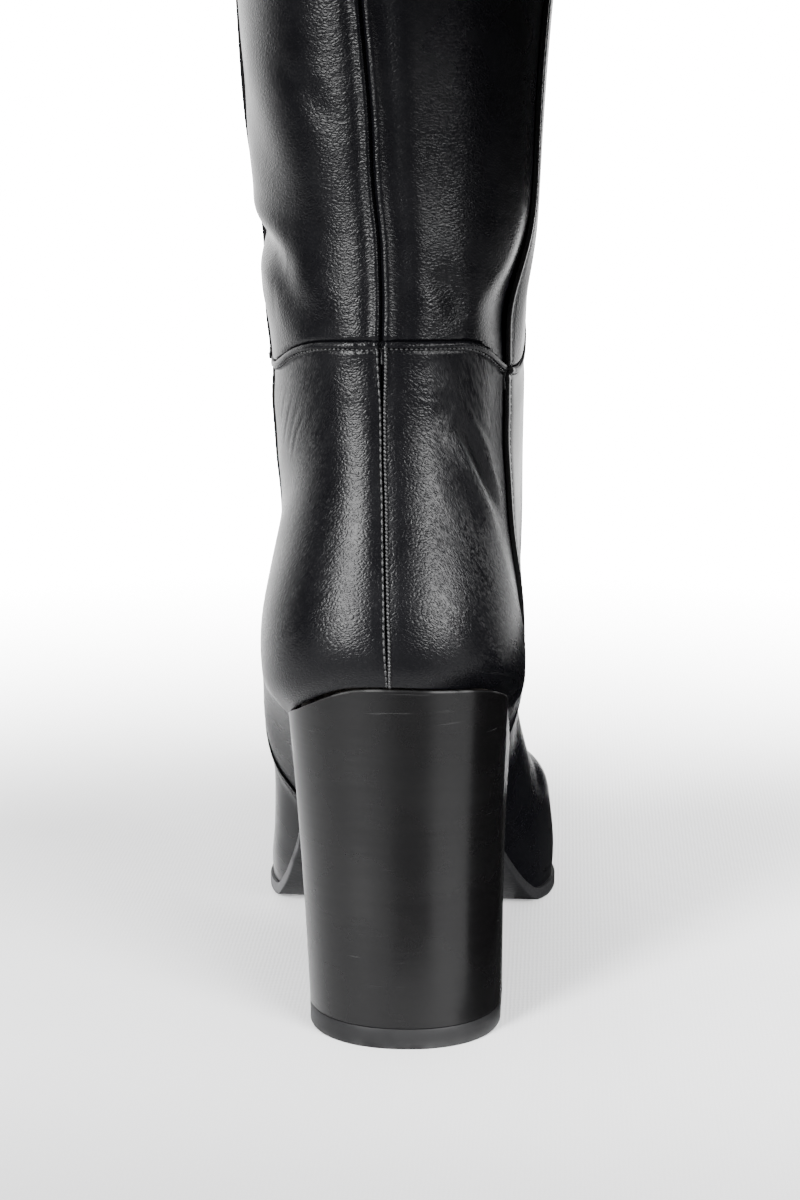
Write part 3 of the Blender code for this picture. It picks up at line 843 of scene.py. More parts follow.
def counter_seam_relief(way, z):
    """The closed back seam: a fine groove in a shallow valley, opened a little at the ankle edge."""
    strength = smooth_step(z, *SEAM_DEEPENS)
    opened = SEAM_OPENING * smooth_step(z, *SEAM_OPENS)
    groove = -SEAM_GROOVE * hump(way, 0, SEAM_GROOVE_WIDTH + opened)
    valley = -SEAM_VALLEY * hump(way, 0, SEAM_VALLEY_WIDTH)
    ridge = SEAM_RIDGE * opened * hump(np.abs(way), SEAM_RIDGE_AT, SEAM_RIDGE_WIDTH)
    return groove * (SEAM_SHALLOW + (1 - SEAM_SHALLOW) * strength) + valley * strength + ridge


# The ankle edge, by the distance down from it.
LIP = 0.85
LIP_END = (1.0, 1.5)
LIP_BEAD = 0.15
LIP_BEAD_AT = 0.5
LIP_BEAD_WIDTH = 0.5
LIP_PINCH = 0.25
LIP_PINCH_AT = 1.9
PINCH_WIDTH = 0.5
BELOW_LIP = 0.70
BELOW_EASE = (2.2, 13.0)


def lip_relief(down):
    """The folded ankle edge: a narrow proud lip, a pinched row of stitches, and an easy rise below it."""
    lip = LIP * (1 - smooth_step(down, *LIP_END)) + LIP_BEAD * hump(down, LIP_BEAD_AT, LIP_BEAD_WIDTH)
    below = -BELOW_LIP * (1 - smooth_step(down, *BELOW_EASE))
    return lip + below - LIP_PINCH * hump(down, LIP_PINCH_AT, PINCH_WIDTH)


# The tab that joins the two folded edges at the back: from where to where round, how far down it is
# flat and how far down it goes, and its tacks.
TAB_START = (-7.0, -6.6)
TAB_END = (-1.6, -1.2)
TAB_STEP = 0.35
TAB_FLAT = (1.2, 1.6)
TAB_RUN_OUT = (2.8, 3.4)
TACK_HEIGHT = 0.02
TACK_PACE = 3.6
TACK_START = (0.3, 0.8)


def lip_join(way, down):
    """Where the folded edge ends short of the back seam, a flat tacked tab carries it on."""
    tab = smooth_step(way, *TAB_START) * (1 - smooth_step(way, *TAB_END))
    flat = -TAB_STEP * (1 - smooth_step(down, *LIP_END)) + TAB_STEP * smooth_step(down, *TAB_FLAT)
    tacks = TACK_HEIGHT * np.sin(way * TACK_PACE) * smooth_step(down, *TACK_START)
    return tab * (flat + tacks) * (1 - smooth_step(down, *TAB_RUN_OUT))


# The hollow beside the lap: its depth, where it starts and its width, and how much deeper and wider it
# gets in the fold over the ankle. Then the step down at the lap itself, and how it eases off.
FOLD_HEIGHT = 203
FOLD_SPAN = 17
INNER_HOLLOW = 0.85
INNER_HOLLOW_FOLD = 2.6
INNER_START = 2.0
INNER_WIDTH = 15.0
INNER_WIDTH_FOLD = 1.5
LOW_WIDTH_FOLD = 7.0
WIDENS_BELOW = (216, 192)
INNER_STEP = 1.2
INNER_STEP_EASE = (0.5, 1.4)
OUTER_HOLLOW = 0.15
OUTER_EASE = (1.5, 6.0)
OUTER_STEP = 0.5
OUTER_STEP_EASE = (0.6, 1.4)


def lap_hollow(before, side, z):
    """The leather sinks where the front piece laps over it, far more on the inner side."""
    if side == INNER_SIDE:
        fold = hump(z, FOLD_HEIGHT, FOLD_SPAN)
        low = smooth_step(z, *WIDENS_BELOW)
        wide = INNER_WIDTH + INNER_WIDTH_FOLD * fold + LOW_WIDTH_FOLD * low * fold
        deep = INNER_HOLLOW + INNER_HOLLOW_FOLD * fold
        step = INNER_STEP * (1 - smooth_step(before, *INNER_STEP_EASE))
        return -deep * (1 - smooth_step(before, INNER_START, wide)) - step
    step = OUTER_STEP * (1 - smooth_step(before, *OUTER_STEP_EASE))
    return -OUTER_HOLLOW * (1 - smooth_step(before, *OUTER_EASE)) - step


# How far the counter's lower edge hangs down at each side of the heel, and stands up at the back. The
# change comes and goes over these ways round from the back seam.
SEAT_DROOP = {OUTER_SIDE: 3.0, INNER_SIDE: -2.9}
SEAT_LIFT = 1.0
DROOP_COMES = (9.0, 35.0)
DROOP_GOES = (44.0, 60.0)
# How far the ankle edge is drawn up: way round from the back seam, then the lift.
ANKLE_LIFT = {
    OUTER_SIDE: np.array([(0, 1.7), (7, 1.6), (12, 1.6), (21, 1.7), (32, 1.6), (46, 0.8), (54, 0)], float),
    INNER_SIDE: np.array([(0, 1.7), (10, 1.8), (20, 2.3), (27, 2.7), (33, 2.0), (42, 0.6), (47, 0)], float),
}


def seat_change(way, side):
    """The counter's lower edge stands high at the back and the inner side, and hangs at the outer side."""
    share = smooth_step(way, *DROOP_COMES)
    return SEAT_LIFT * (1 - share) - SEAT_DROOP[side] * share * (1 - smooth_step(way, *DROOP_GOES))


def ankle_lift(way, side):
    """How far the folded edge stands above its ring; it stays level round the back, then drops."""
    table = ANKLE_LIFT[side]
    return spline(table[:, 0], table[:, 1], np.abs(way).ravel()).reshape(way.shape)


# Where the rows of stitches beside the back seam lie, measured down and up the walls of its groove:
# over the seat, up the counter and under the ankle edge, and the heights where they change.
ROW_LOW = 0.55
ROW_DEPTH = 1.36
ROW_WIDE = 1.90
ROW_LEAVES_LOW = (104.0, 122.0)
ROW_GOES_WIDE = (174.0, 191.0)


def beside_seam(panel):
    """A line beside the back seam that closes in over the heel and swings out under the ankle edge."""
    line, facing = panel.line("near", ROW_DEPTH)
    low = panel.line("near", ROW_LOW)[0]
    wide = panel.line("near", ROW_WIDE)[0]
    z = line[:, 2:]
    line = low + (line - low) * smooth_step(z, *ROW_LEAVES_LOW)
    return line + (wide - line) * smooth_step(z, *ROW_GOES_WIDE), facing


SIDES = ((OUTER_SIDE, "outer"), (INNER_SIDE, "inner"))
QUARTER_COLUMNS = 62
ANKLE_ROW = 1.95
QUARTER_HOLLOW_AT = ANKLE - 20.0
SEAT_CHANGE_END = 118.0
ANKLE_LIFT_START = 172.0
quarter_rows = heights_between(SEAT, ANKLE, (110, 0.8), (150, 1.1), (188, 0.8), (ANKLE, 0.33))
quarter_heights = quarter_rows[:, None]
quarters = {}
for side, _ in SIDES:
    panel = back_panel(quarter_rows, side, QUARTER_COLUMNS)
    z = panel.points[..., 2]
    down = panel.from_edge("top")
    relief = counter_seam_relief(panel.way, z) + lip_relief(down) + lip_join(panel.way, down)
    before = panel.from_edge("far") - UNDERLAP
    relief = relief + lap_hollow(before, side, np.full_like(z, QUARTER_HOLLOW_AT))
    panel.push(relief + crease(panel))
    lower = 1 - smooth_step(quarter_heights, SEAT, SEAT_CHANGE_END)
    panel.points[..., 2] += lower * seat_change(np.abs(panel.way), side)
    upper = smooth_step(quarter_heights, ANKLE_LIFT_START, ANKLE)
    panel.points[..., 2] += upper * ankle_lift(panel.way, side)
    quarters[side] = panel
quarter_top_rows = [quarters[side].line("top", ANKLE_ROW) for side in quarters]
counter_rows = {side: beside_seam(quarters[side]) for side in quarters}

GRAIN_SLANT = math.radians(-48)
GRAIN_STRETCH = (0.82, 1.25, 1.0)
WRINKLE_SLANT = math.radians(8)
WRINKLE_STRETCH = (9.0, 34.0, 1.0)


def vector_calc(tree, operation, first, second):
    """One step of arithmetic on vectors."""
    return add_node(tree, "ShaderNodeVectorMath", {0: first, 1: second}, operation=operation).outputs[0]


def own_mark(tree, name):
    """A mark that the piece carries on its points."""
    return add_node(tree, "ShaderNodeAttribute", attribute_name=name).outputs["Fac"]


def start_group(name, amount):
    """A node group that turns the leather's chart and an amount into a height, and its inputs."""
    group = bpy.data.node_groups.new(name, "ShaderNodeTree")
    group.interface.new_socket("Chart", in_out="INPUT", socket_type="NodeSocketVector")
    group.interface.new_socket(amount, in_out="INPUT", socket_type="NodeSocketFloat")
    group.interface.new_socket("Height", in_out="OUTPUT", socket_type="NodeSocketFloat")
    return group, group.nodes.new("NodeGroupInput").outputs


def laid(tree, place, slant, stretch):
    """A place turned on its chart and stretched."""
    inputs = {"Vector": place, "Rotation": (0.0, 0.0, slant), "Scale": stretch}
    return add_node(tree, "ShaderNodeMapping", inputs).outputs["Vector"]


def grain_group():
    """Leather grain: slanting drawn-out cells with finer pores between them, as a height."""
    group, inputs = start_group("grain", "Cells")
    turned = laid(group, inputs["Chart"], GRAIN_SLANT, GRAIN_STRETCH)
    stray = add_node(group, "ShaderNodeTexNoise", {"Vector": turned, "Scale": 14.0, "Detail": 2.0})
    bent = vector_calc(group, "MULTIPLY", stray.outputs["Color"], (0.022, 0.022, 0.0))
    moved = vector_calc(group, "ADD", turned, bent)
    cells = add_node(
        group, "ShaderNodeTexVoronoi", {"Vector": moved, "Scale": inputs["Cells"]}, feature="DISTANCE_TO_EDGE"
    )
    fine_scale = calc(group, "MULTIPLY", inputs["Cells"], 2.3)
    fine = add_node(group, "ShaderNodeTexVoronoi", {"Vector": moved, "Scale": fine_scale})
    plump = ramp(group, cells.outputs["Distance"], 0.0, 0.32)
    height = calc(group, "ADD", plump, calc(group, "MULTIPLY", fine.outputs["Distance"], -0.55))
    add_node(group, "NodeGroupOutput", {"Height": height})
    return group


def wrinkle_group():
    """Fine wrinkles that run across the leather where it has been bent, as a height."""
    group, inputs = start_group("wrinkles", "Amount")
    long_way = laid(group, inputs["Chart"], WRINKLE_SLANT, WRINKLE_STRETCH)
    folds = add_node(
        group, "ShaderNodeTexNoise", {"Vector": long_way, "Scale": 1.0, "Detail": 4.0, "Distortion": 0.6}
    ).outputs["Fac"]
    sharp = calc(group, "ABSOLUTE", calc(group, "SUBTRACT", folds, 0.5))
    valley = ramp(group, sharp, 0.0, 0.11)
    patches = ramp(group, noise(group, inputs["Chart"], 5.0, 3.0), 0.38, 0.62)
    amount = calc(group, "MULTIPLY", inputs["Amount"], patches)
    add_node(group, "NodeGroupOutput", {"Height": calc(group, "MULTIPLY", valley, amount)})
    return group


GRAIN = grain_group()
WRINKLES = wrinkle_group()
GRAIN_CELLS = 98.0
GRAIN_DEPTH = 0.000036
WRINKLE_SHARE = 2.2
HIDE_BLACK = (0.0009, 0.0009, 0.0012, 1.0)
HIDE_PALE = (0.0018, 0.0018, 0.0023, 1.0)
EDGE_INK = (0.0008, 0.0008, 0.0009, 1.0)
EDGE_ROUGHNESS = 0.8
upper_leather, hide, hide_shader = start_material("upper_leather")
hide_chart = add_node(hide, "ShaderNodeUVMap", uv_map="chart").outputs["UV"]
hide_grain = add_node(hide, "ShaderNodeGroup", node_tree=GRAIN)
hide.links.new(hide_chart, hide_grain.inputs["Chart"])
hide_grain.inputs["Cells"].default_value = GRAIN_CELLS
hide_wrinkles = add_node(hide, "ShaderNodeGroup", node_tree=WRINKLES)
hide.links.new(hide_chart, hide_wrinkles.inputs["Chart"])
hide.links.new(own_mark(hide, "crease"), hide_wrinkles.inputs["Amount"])
hide_cut = own_mark(hide, "cut")
hide_cloud = noise(hide, hide_chart, 6.0, 5.0)
hide_tone = mixed(hide, hide_cloud, HIDE_BLACK, HIDE_PALE)
hide_rough = ramp(hide, hide_cloud, *CLOUD, 0.25, 0.31)
hide_folds = calc(hide, "MULTIPLY", hide_wrinkles.outputs["Height"], WRINKLE_SHARE)
dress(
    hide_shader,
    colour=mixed(hide, hide_cut, hide_tone, EDGE_INK),
    roughness=calc(hide, "MAXIMUM", hide_rough, calc(hide, "MULTIPLY", hide_cut, EDGE_ROUGHNESS)),
    specular=0.11,
    height=calc(hide, "ADD", hide_grain.outputs["Height"], hide_folds),
    relief=GRAIN_DEPTH,
)

# The fold turns in square to the leather beside the seam, not to the walls of the seam's groove.
GROOVE_COLUMNS = 13
for side, word in SIDES:
    panel = quarters[side]
    panel.normals[-1, :GROOVE_COLUMNS] = panel.normals[-1, GROOVE_COLUMNS]
    panel.turn("top", FOLDED_DEEP)
    panel.turn("bottom", MARGIN)
    panel.made(f"quarter_{word}", upper_leather, "upper")


# ---------------------------------------------------------------- vamp
# One piece from side seam to side seam round the toe. Its raw black edge laps over both quarters, a
# row of stitches holds it, and its own folded edge carries the ankle line on round the front.
VAMP_LIFT = 0.10
VAMP_COLUMNS = 150
VAMP_LAP_EASE = 9.0
VAMP_LAP_ROW = 1.9
LAP_INNER = 0.15
LAP_OUTER = 0.35
LAP_FLAT = 1.0
STITCHED_IN = 0.22
CUT_THICKNESS = 1.25
CUT = [(0.05, 0.04), (0.09, 0.14), (0.10, 0.5), (0.09, CUT_THICKNESS - 0.14), (0.02, CUT_THICKNESS)]
CLOSE_TO_EDGE = np.array([0.0, 0.25, 0.6, 1.1, 1.7, 2.4, 3.3, 4.5])
EDGE_MARGIN = 6.0


def front_panel(heights, count):
    """A panel from the inner side seam round the front to the outer one, its edges finely divided."""
    ways = []
    for height in heights:
        ring = ring_at(height)
        start = ring.seam_way(INNER_SIDE, SIDE_SEAMS[INNER_SIDE])
        end = ring.inner_length + ring.outer_length - ring.seam_way(OUTER_SIDE, SIDE_SEAMS[OUTER_SIDE])
        middle = np.linspace(start + EDGE_MARGIN, end - EDGE_MARGIN, count)
        ways.append(np.concatenate([start + CLOSE_TO_EDGE, middle, end - CLOSE_TO_EDGE[::-1]]))
    return Panel(heights, ways)


def lap_relief(panel, ease, row):
    """How a panel rises over what it laps, and how the row of stitches along its edges pinches it."""
    from_inner = panel.from_edge("near")
    from_outer = panel.from_edge("far")
    inner_rise = LAP_INNER * (1 - smooth_step(from_inner, LAP_FLAT, ease))
    outer_rise = LAP_OUTER * (1 - smooth_step(from_outer, LAP_FLAT, ease))
    pinch = -STITCHED_IN * (hump(from_inner, row, PINCH_WIDTH) + hump(from_outer, row, PINCH_WIDTH))
    return inner_rise + outer_rise, pinch


vamp_rows = heights_between(SEAT, ANKLE, (110, 1.0), (150, 1.1), (188, 0.8), (ANKLE, 0.33))
vamp = front_panel(vamp_rows, VAMP_COLUMNS)
lap, pinch = lap_relief(vamp, VAMP_LAP_EASE, VAMP_LAP_ROW)
vamp.push(VAMP_LIFT + lap + pinch + lip_relief(vamp.from_edge("top")) + crease(vamp))
vamp_inner_row = vamp.line("near", VAMP_LAP_ROW)
vamp_outer_row = vamp.line("far", VAMP_LAP_ROW)
vamp_top_row = vamp.line("top", ANKLE_ROW)
vamp.turn("near", CUT, "cut")
vamp.turn("far", CUT, "cut")
vamp.turn("top", FOLDED_DEEP)
vamp.turn("bottom", MARGIN)

# Over the instep and the toe the chart would shear, so the vamp's grain is taken from the object itself.
INSTEP_GRAIN_DEPTH = 0.000006
vamp_leather = upper_leather.copy()
vamp_leather.name = "vamp_leather"
instep = vamp_leather.node_tree
instep_chart = next(node for node in instep.nodes if node.bl_idname == "ShaderNodeUVMap")
instep_sized = vector_calc(instep, "MULTIPLY", own_place(instep), (10.0, 10.0, 10.0))
for link in list(instep_chart.outputs["UV"].links):
    instep.links.new(instep_sized, link.to_socket)
instep.nodes.remove(instep_chart)
for bump in [node for node in instep.nodes if node.bl_idname == "ShaderNodeBump"]:
    bump.inputs["Distance"].default_value = INSTEP_GRAIN_DEPTH
vamp.made("vamp", vamp_leather, "upper")


# ---------------------------------------------------------------- leg, back panels
# Two tall pieces that meet down the middle of the back in a seam pressed open, which leaves a dark
# groove, a narrow ridge beside it and a broad soft one further in. They tuck in behind the ankle edge.
LEG_SINK = -0.25
LEG_TUCK = 6.0
LEG_TUCK_SINK = -2.4
TUCK_END = (ANKLE - 0.8, ANKLE + 1.2)
LEG_COLUMNS = 78
# The topline lies even: the hollow beside the lap closes towards it.
EVEN_FROM = 605.0
EVEN_AT = 634.0
EVEN_SHARE = 0.85
leg_rows = heights_between(ANKLE - LEG_TUCK, TOP, (ANKLE, 0.8), (232, 0.75), (300, 0.9), (TOP, 5.0))


def tucked(height):
    """Sinks the lowest rows, so that they pass behind the folded edge."""
    return LEG_TUCK_SINK * (1 - smooth_step(height, *TUCK_END))


# Across the seam: the height of each ridge or hollow, its way round from the seam and its half width.
# A groove, a narrow ridge and a broad one on the inner side, and a faint one on the outer side.
LEG_SEAM = [
    (-1.25, 0, 0.42), (0.30, 1.8, 1.0), (-0.28, 5.2, 2.4), (0.34, 10.5, 3.4), (0.22, -1.5, 0.8),
    (-0.20, -3.6, 1.5),
]


def leg_seam_relief(way):
    """The seam pressed open down the back of the leg."""
    return sum(height * hump(way, middle, width) for height, middle, width in LEG_SEAM)


for side, word in SIDES:
    panel = back_panel(leg_rows, side, LEG_COLUMNS)
    z = panel.points[..., 2]
    hollow = lap_hollow(panel.from_edge("far") - UNDERLAP, side, z)
    hollow = hollow * (1 - EVEN_SHARE * smooth_step(z, EVEN_FROM, EVEN_AT))
    tuck = tucked(leg_rows[:, None] - ankle_lift(panel.way, side))
    panel.push(LEG_SINK + tuck + leg_seam_relief(panel.way) + hollow + crease(panel))
    panel.turn("top", FOLDED)
    panel.made(f"leg_back_{word}", upper_leather, "shaft")


# ---------------------------------------------------------------- leg, front panel
# One wide piece up the front. Its raw edges lap over the back panels, which sink beside them on the
# inner side, so that a black channel shows there.
FRONT_COLUMNS = 110
FRONT_LAP_EASE = 8.0
FRONT_LAP_ROW = 1.7
# Over the ankle the inner edge sinks with the leather beside it, by this much at most and this far in.
FRONT_FOLD = 1.7
FRONT_FOLD_REACH = 9.0
front = front_panel(leg_rows, FRONT_COLUMNS)
lap, pinch = lap_relief(front, FRONT_LAP_EASE, FRONT_LAP_ROW)
at_fold = hump(front.points[..., 2], FOLD_HEIGHT, FOLD_SPAN)
fold = -FRONT_FOLD * at_fold * (1 - smooth_step(front.from_edge("near"), 0.0, FRONT_FOLD_REACH))
front.push(tucked(leg_rows[:, None]) + fold + lap + pinch + crease(front))
front_inner_row = front.line("near", FRONT_LAP_ROW)
front_outer_row = front.line("far", FRONT_LAP_ROW)
front.turn("near", CUT, "cut")
front.turn("far", CUT, "cut")
front.turn("top", FOLDED)
front.made("leg_front", upper_leather, "shaft")


# ---------------------------------------------------------------- stitches
# Black waxed thread. One stitch is modelled and copied along each row, and the rows that hold one
# seam make one piece. The rows beside the back seam differ: plain outside, roped inside.
THREAD_BLACK = (0.002, 0.002, 0.0023, 1.0)
THREAD_PALE = (0.008, 0.008, 0.0086, 1.0)
thread, twist, twist_shader = start_material("thread")
twist_wave = add_node(
    twist, "ShaderNodeTexWave", {"Vector": own_place(twist), "Scale": 900.0, "Distortion": 2.0},
    bands_direction="DIAGONAL",
).outputs["Fac"]
dress(
    twist_shader,
    colour=mixed(twist, twist_wave, THREAD_BLACK, THREAD_PALE),
    roughness=ramp(twist, twist_wave, 0.2, 0.8, 0.38, 0.55),
    specular=0.42,
    height=twist_wave,
    relief=0.00003,
)

# A stitch is a small ball with its ends drawn out towards blunt tips. The ball's points and faces come
# in no fixed order, so they are put in order first.
BLUNTNESS = 0.6
LOOK_AHEAD = 0.3
bpy.ops.object.select_all(action="DESELECT")
bpy.ops.mesh.primitive_uv_sphere_add(segments=8, ring_count=6, radius=0.5)
one_stitch = bpy.context.object
stitch_points = np.array([v.co[:] for v in one_stitch.data.vertices])
point_order = np.lexsort(np.round(stitch_points, 5).T)
new_index = np.argsort(point_order)
stitch_points = stitch_points[point_order]
stitch_points[:, 0] = np.sign(stitch_points[:, 0]) * (2 * np.abs(stitch_points[:, 0])) ** BLUNTNESS / 2
stitch_faces = [[int(new_index[corner]) for corner in face.vertices] for face in one_stitch.data.polygons]
stitch_faces.sort()
bpy.data.objects.remove(one_stitch)


def read_row(spot, way, values):
    """What a row's values are at a distance along it."""
    return np.array([np.interp(spot, way, values[:, axis]) for axis in range(3)])


def sew(name, rows, node):
    """Joins the stitches of some rows. Each row is (points, normals), pitch, size, lift and slant."""
    points = []
    faces = []
    for (line, facing), pitch, size, lift, slant in rows:
        way = travelled(line)
        spots = np.arange(pitch / 2, way[-1] - pitch / 2, pitch)
        for spot in spots:
            here = read_row(spot, way, line)
            ahead = read_row(spot + LOOK_AHEAD, way, line)
            out = read_row(spot, way, facing)
            along = (ahead - here) / max(np.linalg.norm(ahead - here), 1e-9)
            out = out - along * np.dot(out, along)
            out /= np.linalg.norm(out)
            aside = np.cross(out, along)
            if slant:
                turned = along * math.cos(slant) + aside * math.sin(slant)
                aside = np.cross(out, turned)
                along = turned
            base = len(points) * len(stitch_points)
            points.append(
                here + out * lift
                + stitch_points[:, :1] * size[0] * along
                + stitch_points[:, 1:2] * size[1] * aside
                + stitch_points[:, 2:] * size[2] * out
            )
            faces.extend([[base + corner for corner in face] for face in stitch_faces])
    mesh = bpy.data.meshes.new(name)
    mesh.from_pydata((np.concatenate(points) * MM).tolist(), [], faces)
    mesh.shade_smooth()
    piece = bpy.data.objects.new(name, mesh)
    bpy.context.scene.collection.objects.link(piece)
    set_material(piece, thread)
    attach(piece, "root")
    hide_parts(node)


# Each kind of row: its pitch, a stitch's length, width and height, its lift and its slant.
FINE_ROW = (1.3, (0.80, 0.55, 0.50), 0.05, 0.0)
PLAIN_ROW = (2.1, (1.95, 0.68, 0.70), 0.14, 0.0)
ROPE_ROW = (1.0, (1.20, 0.88, 0.95), 0.20, 0.33)
VAMP_ROW = (2.3, (1.9, 0.55, 0.42), 0.02, 0.0)
LEG_ROW = (2.5, (1.9, 0.55, 0.42), 0.02, 0.0)
sew("stitches_ankle", [
    (quarter_top_rows[0], *FINE_ROW), (quarter_top_rows[1], *FINE_ROW), (vamp_top_row, *FINE_ROW),
], "upper")
sew("stitches_counter", [
    (counter_rows[OUTER_SIDE], *PLAIN_ROW), (counter_rows[INNER_SIDE], *ROPE_ROW),
], "upper")
sew("stitches_vamp", [(vamp_inner_row, *VAMP_ROW), (vamp_outer_row, *VAMP_ROW)], "upper")
sew("stitches_leg", [(front_inner_row, *LEG_ROW), (front_outer_row, *LEG_ROW)], "shaft")


# ---------------------------------------------------------------- insole sock
# A thin board covered in soft leather, from heel to toe. It lies on the turned-in edge of the upper,
# which is lasted under it, and is glued there.
SOLID_CREASE_ANGLE = math.radians(35)


def wrap(name, rings):
    """A closed body from rings of points: a grid rolled up, its seam merged and its two ends filled."""
    rings = np.array(rings)
    piece = pulled_grid(name, np.concatenate([rings, rings[:, :1]], axis=1))
    piece.data.update()
    bpy.ops.object.mode_set(mode="EDIT")
    bpy.ops.mesh.select_all(action="SELECT")
    bpy.ops.mesh.remove_doubles(threshold=MERGE_UNDER)
    bpy.ops.mesh.select_all(action="SELECT")
    bpy.ops.mesh.fill_holes(sides=0)
    bpy.ops.mesh.select_all(action="SELECT")
    bpy.ops.mesh.normals_make_consistent(inside=False)
    bpy.ops.object.mode_set(mode="OBJECT")
    bpy.ops.object.shade_smooth_by_angle(angle=SOLID_CREASE_ANGLE)
    return piece


def sole_outline(y, grow):
    """The outer and the inner x of the feather line at the stations y, let out by `grow`."""
    lowest = FOOT_SECTIONS[0]
    back_y, _, front_y, _, _, back_x, front_x, back_len, front_len, fullness = lowest[:10]
    middle = back_x + (front_x - back_x) * (y - back_y) / (front_y - back_y)
    ends = rounded_end(front_y + grow - y, front_len, fullness)
    ends = ends * rounded_end(y - back_y + grow, back_len, ROUNDING)
    outer = reach_at(lowest[11:15], y) - grow
    inner = reach_at(lowest[15:19], y) + grow
    return middle + (outer - middle) * ends, middle + (inner - middle) * ends


def stations_between(back_y, front_y, count):
    """Places from back to front, closer together at both ends."""
    return back_y + (front_y - back_y) * (1 - np.cos(np.linspace(0, math.pi, count))) / 2


CORNER_MOST = 0.45
CORNER_CUT = 0.3


def slab_ring(y, outer, inner, under, over, corner, across):
    """One cross section of a sole: over the top from outer to inner, and back underneath."""
    corner = min(corner, (over - under) * CORNER_MOST, (inner - outer) * CORNER_MOST)
    cut = CORNER_CUT * corner
    flat = inner - outer - 2 * corner
    share = np.linspace(0, 1, across)
    top_line = [(outer + corner + flat * s, over) for s in share]
    inner_edge = [(inner - cut, over - cut), (inner, over - corner), (inner, under + corner),
                  (inner - cut, under + cut)]
    low_line = [(inner - corner - flat * s, under) for s in share]
    outer_edge = [(outer + cut, under + cut), (outer, under + corner), (outer, over - corner),
                  (outer + cut, over - cut)]
    return [(x, y, z) for x, z in top_line + inner_edge + low_line + outer_edge]


SOCK_BACK = -25.0
SOCK_FRONT = 199.5
SOCK_INSET = 2.6
SOCK_LIFT = 3.0
SOCK_THICKNESS = 2.3
SOCK_CORNER = 0.7
SOCK_STATIONS = 90
SOCK_ACROSS = 16
sock_stations = stations_between(SOCK_BACK, SOCK_FRONT, SOCK_STATIONS)
sock_outer, sock_inner = sole_outline(sock_stations, -SOCK_INSET)
sock_under = sole_height(sock_stations) + SOCK_LIFT
sock = wrap("insole_sock", [
    slab_ring(y, outer, inner, under, under + SOCK_THICKNESS, SOCK_CORNER, SOCK_ACROSS)
    for y, outer, inner, under in zip(sock_stations, sock_outer, sock_inner, sock_under)
])
set_material(sock, lining_leather)
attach(sock, "root")
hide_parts("insole")


# ---------------------------------------------------------------- outsole
# A thin sole cut from leather, inked black and glued on, from the heel's breast to the toe. It's
# thickest under the ball. Its edge is rubbed grey, painted on the outer, lit side only; the inner
# side's edge is kept black as painted shade.
SOLE_BACK = 28.4
SOLE_FRONT = 204.9
BALL_Y = 108.0
SOLE_GROW = 1.2
SOLE_GAP = 0.2
SHANK_THICKNESS = 3.2
BALL_EXTRA = 0.9
SOLE_CORNER = 0.6
SOLE_STATIONS = 120
SOLE_ACROSS = 26
sole_stations = stations_between(SOLE_BACK, SOLE_FRONT, SOLE_STATIONS)
sole_outer, sole_inner = sole_outline(sole_stations, SOLE_GROW)
to_ball = np.clip((sole_stations - SOLE_BACK) / (BALL_Y - SOLE_BACK), 0, 1)
sole_over = sole_height(sole_stations) - SOLE_GAP
sole_under = np.maximum(sole_over - SHANK_THICKNESS - BALL_EXTRA * to_ball, 0.0)
outsole = wrap("sole", [
    slab_ring(y, outer, inner, under, over, SOLE_CORNER, SOLE_ACROSS)
    for y, outer, inner, under, over in zip(sole_stations, sole_outer, sole_inner, sole_under, sole_over)
])

SOLE_BLACK = (0.005, 0.005, 0.0055, 1.0)
SOLE_PALE = (0.010, 0.010, 0.0105, 1.0)
# The rubbed edge's grey, partly wear and partly painted light on the outer side.
SOLE_WORN_AND_LIT_EDGE = (0.062, 0.062, 0.064, 1.0)
sole_leather, tread, tread_shader = start_material("sole_leather")
tread_place = own_place(tread)
tread_normal = add_node(tread, "ShaderNodeNewGeometry").outputs["Normal"]
tread_steep = calc(tread, "ABSOLUTE", part_of(tread, tread_normal, "Z"))
tread_edge = ramp(tread, tread_steep, 0.25, 0.75, 1.0, 0.0)
tread_cloud = noise(tread, tread_place, 60.0, 6.0)
# Painted light and shade: the edge's grey wear is kept to the outer side, and the inner side's edge stays
# dark as painted shade.
tread_lit_side = ramp(tread, part_of(tread, tread_place, "X"), -0.02, 0.02, 1.0, 0.0)
tread_edge = calc(tread, "MULTIPLY", tread_edge, tread_lit_side)
tread_wear_and_light = calc(tread, "MULTIPLY", tread_edge, ramp(tread, tread_cloud, 0.25, 0.60))
tread_tone = mixed(tread, tread_cloud, SOLE_BLACK, SOLE_PALE)
dress(
    tread_shader,
    colour=mixed(tread, tread_wear_and_light, tread_tone, SOLE_WORN_AND_LIT_EDGE),
    roughness=ramp(tread, tread_cloud, *CLOUD, 0.45, 0.60),
    specular=0.06,
    height=noise(tread, tread_place, 700.0, 4.0),
    relief=0.00012,
)
set_material(outsole, sole_leather)
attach(outsole, "root")
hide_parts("outsole")


# ---------------------------------------------------------------- stacked heel
# A block of leather lifts, sanded to one smooth D shape, inked and polished black. The lifts still
# show as faint level lines, and the rim under the seat is grey in places: partly rubbed wear, partly a
# painted highlight along the edge.
# Each row: share of the height, back y, breast y, outer, inner.
HEEL_SECTIONS = [
    (0.0, -24.2, 22.0, -25.4, 28.0),
    (0.4, -24.4, 23.2, -27.0, 28.1),
    (0.75, -25.6, 25.4, -28.8, 28.7),
    (1.0, -27.3, 27.6, -30.4, 29.4),
]
HEEL_ROUND = 25
HEEL_STEPS = 90
BREAST_ROUND = 0.9
BREAST_STEPS = 40


